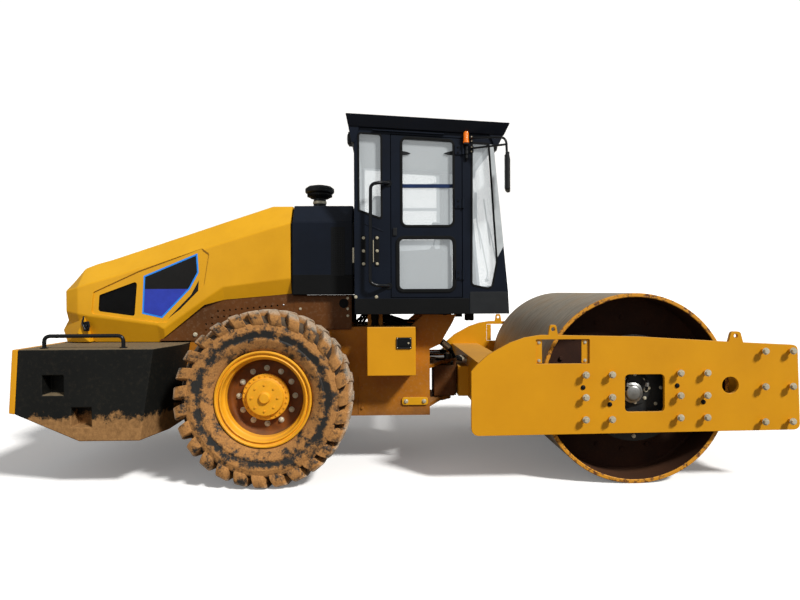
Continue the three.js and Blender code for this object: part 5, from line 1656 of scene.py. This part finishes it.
class ROLLER_OT_front_frame(bpy.types.Operator):
    """Side plates with their studs, crossbeams, drum supports, motors and scrapers"""
    bl_idname = "roller.front_frame"
    bl_label = "Front frame"

    def execute(self, context):
        for name, side in SIDES.items():
            piece(f"Side_plate_{name}", side_plate(side), "front_frame", "yellow_paint", [f"side_plate_{name}"])
            piece(f"Plate_studs_{name}", plate_studs(side), "front_frame", "yellow_paint")
            piece(f"Window_brackets_{name}", window_frames(side), "front_frame", "yellow_paint")
            piece(f"Drum_support_{name}", drum_support(side), "front_frame", "dark_paint", [f"drum_support_{name}"])
            piece(f"Drum_motor_{name}", exciter_motor(side), "front_frame", "dark_paint")
        for end, sign in (("rear", -1), ("front", 1)):
            piece(f"Crossbeam_{end}", crossbeam(f"{end}_crossbeam"), "front_frame", "yellow_paint",
                  [f"{end}_crossbeam"])
            piece(f"Scraper_{end}", scraper(f"scraper_{end}", sign), "front_frame", "dark_paint", [f"scraper_{end}"])
        return {"FINISHED"}


class ROLLER_OT_rear_frame(bpy.types.Operator):
    """Rear chassis, axle, skirts and the gap under the cab"""
    bl_idname = "roller.rear_frame"
    bl_label = "Rear frame"

    def execute(self, context):
        looks = context.scene.roller_looks
        piece("Chassis", chassis(), "rear_frame", "yellow_paint", ["rear_frame"])
        piece("Axle_housing", axle_housing(), "rear_frame", "yellow_paint", ["rear_axle"])
        piece("Cab_mounts", cab_mounts(), "rear_frame", "dark_paint")
        for name, side in SIDES.items():
            piece(f"Engine_skirt_{name}", engine_skirt(side, looks.hole, looks.pitch), "rear_frame", "yellow_paint",
                  [f"engine_skirt_{name}"])
        finish_node("engine_block", "iron", "engine_block")
        return {"FINISHED"}


class ROLLER_OT_counterweight(bpy.types.Operator):
    """Cast counterweight with its rails and the painted end plate"""
    bl_idname = "roller.counterweight"
    bl_label = "Counterweight"

    def execute(self, context):
        piece("Counterweight_casting", counterweight(), "rear_frame", "black_paint", ["counterweight"])
        piece("Handrails", weight_handrails(), "rear_frame", "black_paint")
        piece("End_plate", rear_plate(), "rear_frame", "yellow_paint", ["rear_plate"])
        return {"FINISHED"}


class ROLLER_OT_boxes(bpy.types.Operator):
    """Battery locker and oil tank beside the cab"""
    bl_idname = "roller.boxes"
    bl_label = "Locker and tank"

    def execute(self, context):
        piece("Battery_locker", locker(), "rear_frame", "yellow_paint", ["battery_box"])
        piece("Oil_tank", oil_tank(), "rear_frame", "yellow_paint", ["hydraulic_tank"])
        return {"FINISHED"}


class ROLLER_OT_hood(bpy.types.Operator):
    """The moulded hood with its vents, grille, latches and blank film panels"""
    bl_idname = "roller.hood"
    bl_label = "Hood"

    def execute(self, context):
        shell = piece("Hood_shell", [(hood_shell(), "yellow")], "hood", "yellow_paint", ["hood"])
        for tool in hood_cutters():
            carved(shell, tool)
        piece("Hood_chin", [(hood_chin(), "yellow")], "hood", "yellow_paint")
        piece("Rear_slats", rear_slats(), "hood", "mesh_black", ["rear_grille"])
        piece("Hood_fittings", hood_fittings(), "hood", "black_paint")
        for name, side in SIDES.items():
            piece(f"Side_vent_{name}", side_vent(side), "hood", "mesh_black")
            piece(f"Film_panel_{name}", sticker(side), "hood", "black_paint")
        return {"FINISHED"}


class ROLLER_OT_engine_cover(bpy.types.Operator):
    """Engine cover with its louvres, and the air intake"""
    bl_idname = "roller.engine_cover"
    bl_label = "Engine cover"

    def execute(self, context):
        piece("Cover_panels", engine_cover(), "rear_frame", "dark_paint", ["engine_cover"])
        piece("Intake_cap", air_intake(), "rear_frame", "black_paint", ["air_intake"])
        return {"FINISHED"}


class ROLLER_OT_cab(bpy.types.Operator):
    """Cab shell, roof, lamps, handles, wipers and doors"""
    bl_idname = "roller.cab"
    bl_label = "Cab"

    def execute(self, context):
        piece("Cab_shell", cab_shell(), "rear_frame", "dark_paint", ["cab_frame"])
        piece("Cab_trim", cab_trim(), "rear_frame", "black_paint")
        piece("Grab_handles", grab_handles(), "rear_frame", "black_paint")
        piece("Roof_slab", cab_roof(), "rear_frame", "dark_paint", ["cab_roof"])
        piece("Work_lamps", work_lamps(), "rear_frame", "black_paint")
        for name, side in SIDES.items():
            piece(f"Door_leaf_{name}", door(side), f"door_{name}", "dark_paint", [f"door_{name}"])
            piece(f"Mirror_arms_{name}", mirror(side), "rear_frame", "black_paint", [f"mirror_{name}"])
        return {"FINISHED"}


class ROLLER_OT_glass(bpy.types.Operator):
    """Dusty finish with a glowing painted reflection for the cab's panes"""
    bl_idname = "roller.glass"
    bl_label = "Glass"

    def execute(self, context):
        panes = [n for n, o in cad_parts.items()
                 if o.get("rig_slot", "") == "cab_glass" or any(w in n for w in ("glass", "window", "windscreen"))]
        if not panes:
            raise RuntimeError("the frame has no panes to finish")
        for node in panes:
            finish_node(node, "glass", "cab_glass")
        return {"FINISHED"}


class ROLLER_OT_interior(bpy.types.Operator):
    """Seat frame, console and steering column"""
    bl_idname = "roller.interior"
    bl_label = "Interior"

    def execute(self, context):
        piece("Seat_frame", seat_bases(), "rear_frame", "cab_plastic", ["seat_base"])
        piece("Side_console", console(), "rear_frame", "cab_plastic", ["console"])
        piece("Steering_post", steering_column(), "rear_frame", "cab_plastic", ["steering_column"])
        return {"FINISHED"}


class ROLLER_OT_seat(bpy.types.Operator):
    """Foam cushion and backrest, swollen and sewn"""
    bl_idname = "roller.seat"
    bl_label = "Seat"

    def execute(self, context):
        foam = context.scene.roller_looks.foam
        cushion = stuffed("Seat_foam", points_at([(1.072, 1.712), (1.430, 1.712), (1.438, 1.820), (1.060, 1.795)]),
                          0.250, foam)
        across, lengthwise = Vector((1, 0, 0)), Vector((0, 1, 0))
        sewn(cushion, [(Vector((ahead(x), 0, 0)), across) for x in (1.170, 1.330)]
             + [(Vector((0, y, 0)), lengthwise) for y in (-0.165, 0.165)], 0.007, 0.012)
        dressed(cushion, "rear_frame", "seat_cushion")
        back = stuffed("Backrest_foam", points_at([(0.942, 1.715), (1.033, 1.715), (0.954, 2.458), (0.862, 2.458)]),
                       0.240, foam)
        slant = Vector((-0.081, 0, 0.77)).normalized()
        sewn(back, [(Vector((ahead(0.99 - 0.105 * (z - 1.7)), 0, z)), slant) for z in (1.90, 2.08, 2.27)]
             + [(Vector((0, y, 0)), lengthwise) for y in (-0.155, 0.155)], 0.007, 0.012)
        dressed(back, "rear_frame", "seat_backrest")
        return {"FINISHED"}


class ROLLER_OT_steering(bpy.types.Operator):
    """Hitch and steering cylinders"""
    bl_idname = "roller.steering"
    bl_label = "Steering"

    def execute(self, context):
        piece("Hitch_casting", hitch(), "hitch", "yellow_paint", ["hitch"])
        for name, side in SIDES.items():
            piece(f"Steering_barrel_{name}", steering_barrel(side), f"steering_cylinder_{name}", "dark_paint",
                  [f"steering_cylinder_{name}"])
            piece(f"Steering_piston_{name}", steering_rod(side), f"steering_rod_{name}", "chrome_rod",
                  [f"steering_rod_{name}"])
        return {"FINISHED"}


class ROLLER_OT_hoses(bpy.types.Operator):
    """Hose bundle over the hitch"""
    bl_idname = "roller.hoses"
    bl_label = "Hoses"

    def execute(self, context):
        radius = context.scene.roller_looks.hose
        rear = piece("Hoses_rear", hoses(radius, TO_HITCH), None, "black_paint")
        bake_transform(rear)
        front = piece("Hoses_front", hoses(radius, TO_FRONT), None, "black_paint")
        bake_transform(front)
        return {"FINISHED"}


class ROLLER_OT_stage(bpy.types.Operator):
    """Pale floor and backdrop, soft studio light and the camera"""
    bl_idname = "roller.stage"
    bl_label = "Stage"

    def execute(self, context):
        looks = context.scene.roller_looks
        bm = bmesh.new()
        bmesh.ops.create_grid(bm, x_segments=1, y_segments=1, size=20)
        bmesh.ops.translate(bm, vec=(0, -6, 0), verts=bm.verts)
        back = max(bm.edges, key=lambda e: sum(v.co.y for v in e.verts))
        wall = bmesh.ops.extrude_edge_only(bm, edges=[back])["geom"]
        bmesh.ops.translate(bm, vec=(0, 0, 16), verts=[v for v in wall if isinstance(v, bmesh.types.BMVert)])
        round_edges(bm, [e for e in bm.edges if e.is_manifold], 4.0, 24)
        bmesh.ops.recalc_face_normals(bm, faces=bm.faces)
        mesh = bpy.data.meshes.new("Studio_sweep")
        bm.to_mesh(mesh)
        bm.free()
        mesh.shade_smooth()
        mesh.materials.append(surface("studio"))
        sweep = bpy.data.objects.new("Studio_sweep", mesh)
        context.scene.collection.objects.link(sweep)

        world = bpy.data.worlds.new("Studio light")
        world.use_nodes = True
        world.node_tree.nodes["Background"].inputs["Color"].default_value = looks.backdrop
        # The surroundings light the machine softly, and are pale where they are seen.
        tree = world.node_tree
        seen = add(tree, "LightPath", out="Is Camera Ray")
        shown = add(tree, "MapRange", {0: seen, 3: 0.3, 4: 1.0})
        tree.links.new(shown, tree.nodes["Background"].inputs["Strength"])
        context.scene.world = world
        key = bpy.data.lights.new("Key", "SUN")
        key.energy, key.angle, key.color = looks.key, math.radians(8), (1.0, 0.982, 0.95)
        fill = bpy.data.lights.new("Fill", "AREA")
        fill.energy, fill.size, fill.color = looks.fill, 5.0, (0.93, 0.96, 1.0)
        for light, place, aim in ((key, Vector((6, -8, 8)), Vector((-0.515, 0.55, -0.657))),
                                  (fill, Vector((-5.5, -7.0, 3.6)), Vector((0.60, 0.78, -0.28)))):
            lamp = bpy.data.objects.new(light.name, light)
            lamp.location = place
            lamp.rotation_euler = aim.to_track_quat("-Z", "Y").to_euler()
            context.scene.collection.objects.link(lamp)

        camera = bpy.data.cameras.new("Camera")
        camera.lens, camera.sensor_width = looks.lens, 36.0
        camera.clip_start, camera.clip_end = 0.05, 200.0
        holder = bpy.data.objects.new("Camera", camera)
        turned = (Matrix.Rotation(-0.0281, 4, "Z") @ Matrix.Rotation(-0.014, 4, "X") @ Matrix.Rotation(0.0049, 4, "Y")
                  @ Matrix.Rotation(math.radians(90), 4, "X"))
        holder.matrix_world = Matrix.Translation((-0.2044, -5.8643, 1.5515)) @ turned
        context.scene.collection.objects.link(holder)
        context.scene.camera = holder
        context.scene.view_settings.view_transform = "Standard"
        return {"FINISHED"}


STEPS = (ROLLER_OT_wheels, ROLLER_OT_drum, ROLLER_OT_front_frame, ROLLER_OT_rear_frame, ROLLER_OT_counterweight,
         ROLLER_OT_boxes, ROLLER_OT_hood, ROLLER_OT_engine_cover, ROLLER_OT_cab, ROLLER_OT_glass,
         ROLLER_OT_interior, ROLLER_OT_seat, ROLLER_OT_steering, ROLLER_OT_hoses, ROLLER_OT_stage)


class ROLLER_PT_looks(bpy.types.Panel):
    """Lists the roller's settings and its building steps"""
    bl_idname = "ROLLER_PT_looks"
    bl_label = "Road Roller"
    bl_space_type = "VIEW_3D"
    bl_region_type = "UI"
    bl_category = "Roller"

    def draw(self, context):
        for name in RollerLooks.__annotations__:
            self.layout.prop(context.scene.roller_looks, name)
        for step in STEPS:
            self.layout.operator(step.bl_idname)


CLASSES = (RollerLooks, *STEPS, ROLLER_PT_looks)


def register():
    for made in CLASSES:
        bpy.utils.register_class(made)
    bpy.types.Scene.roller_looks = bpy.props.PointerProperty(type=RollerLooks)


def unregister():
    del bpy.types.Scene.roller_looks
    for made in reversed(CLASSES):
        bpy.utils.unregister_class(made)


def main():
    register()
    for step in STEPS:
        getattr(bpy.ops.roller, step.bl_idname.split(".")[1])()


if __name__ == "__main__":
    main()
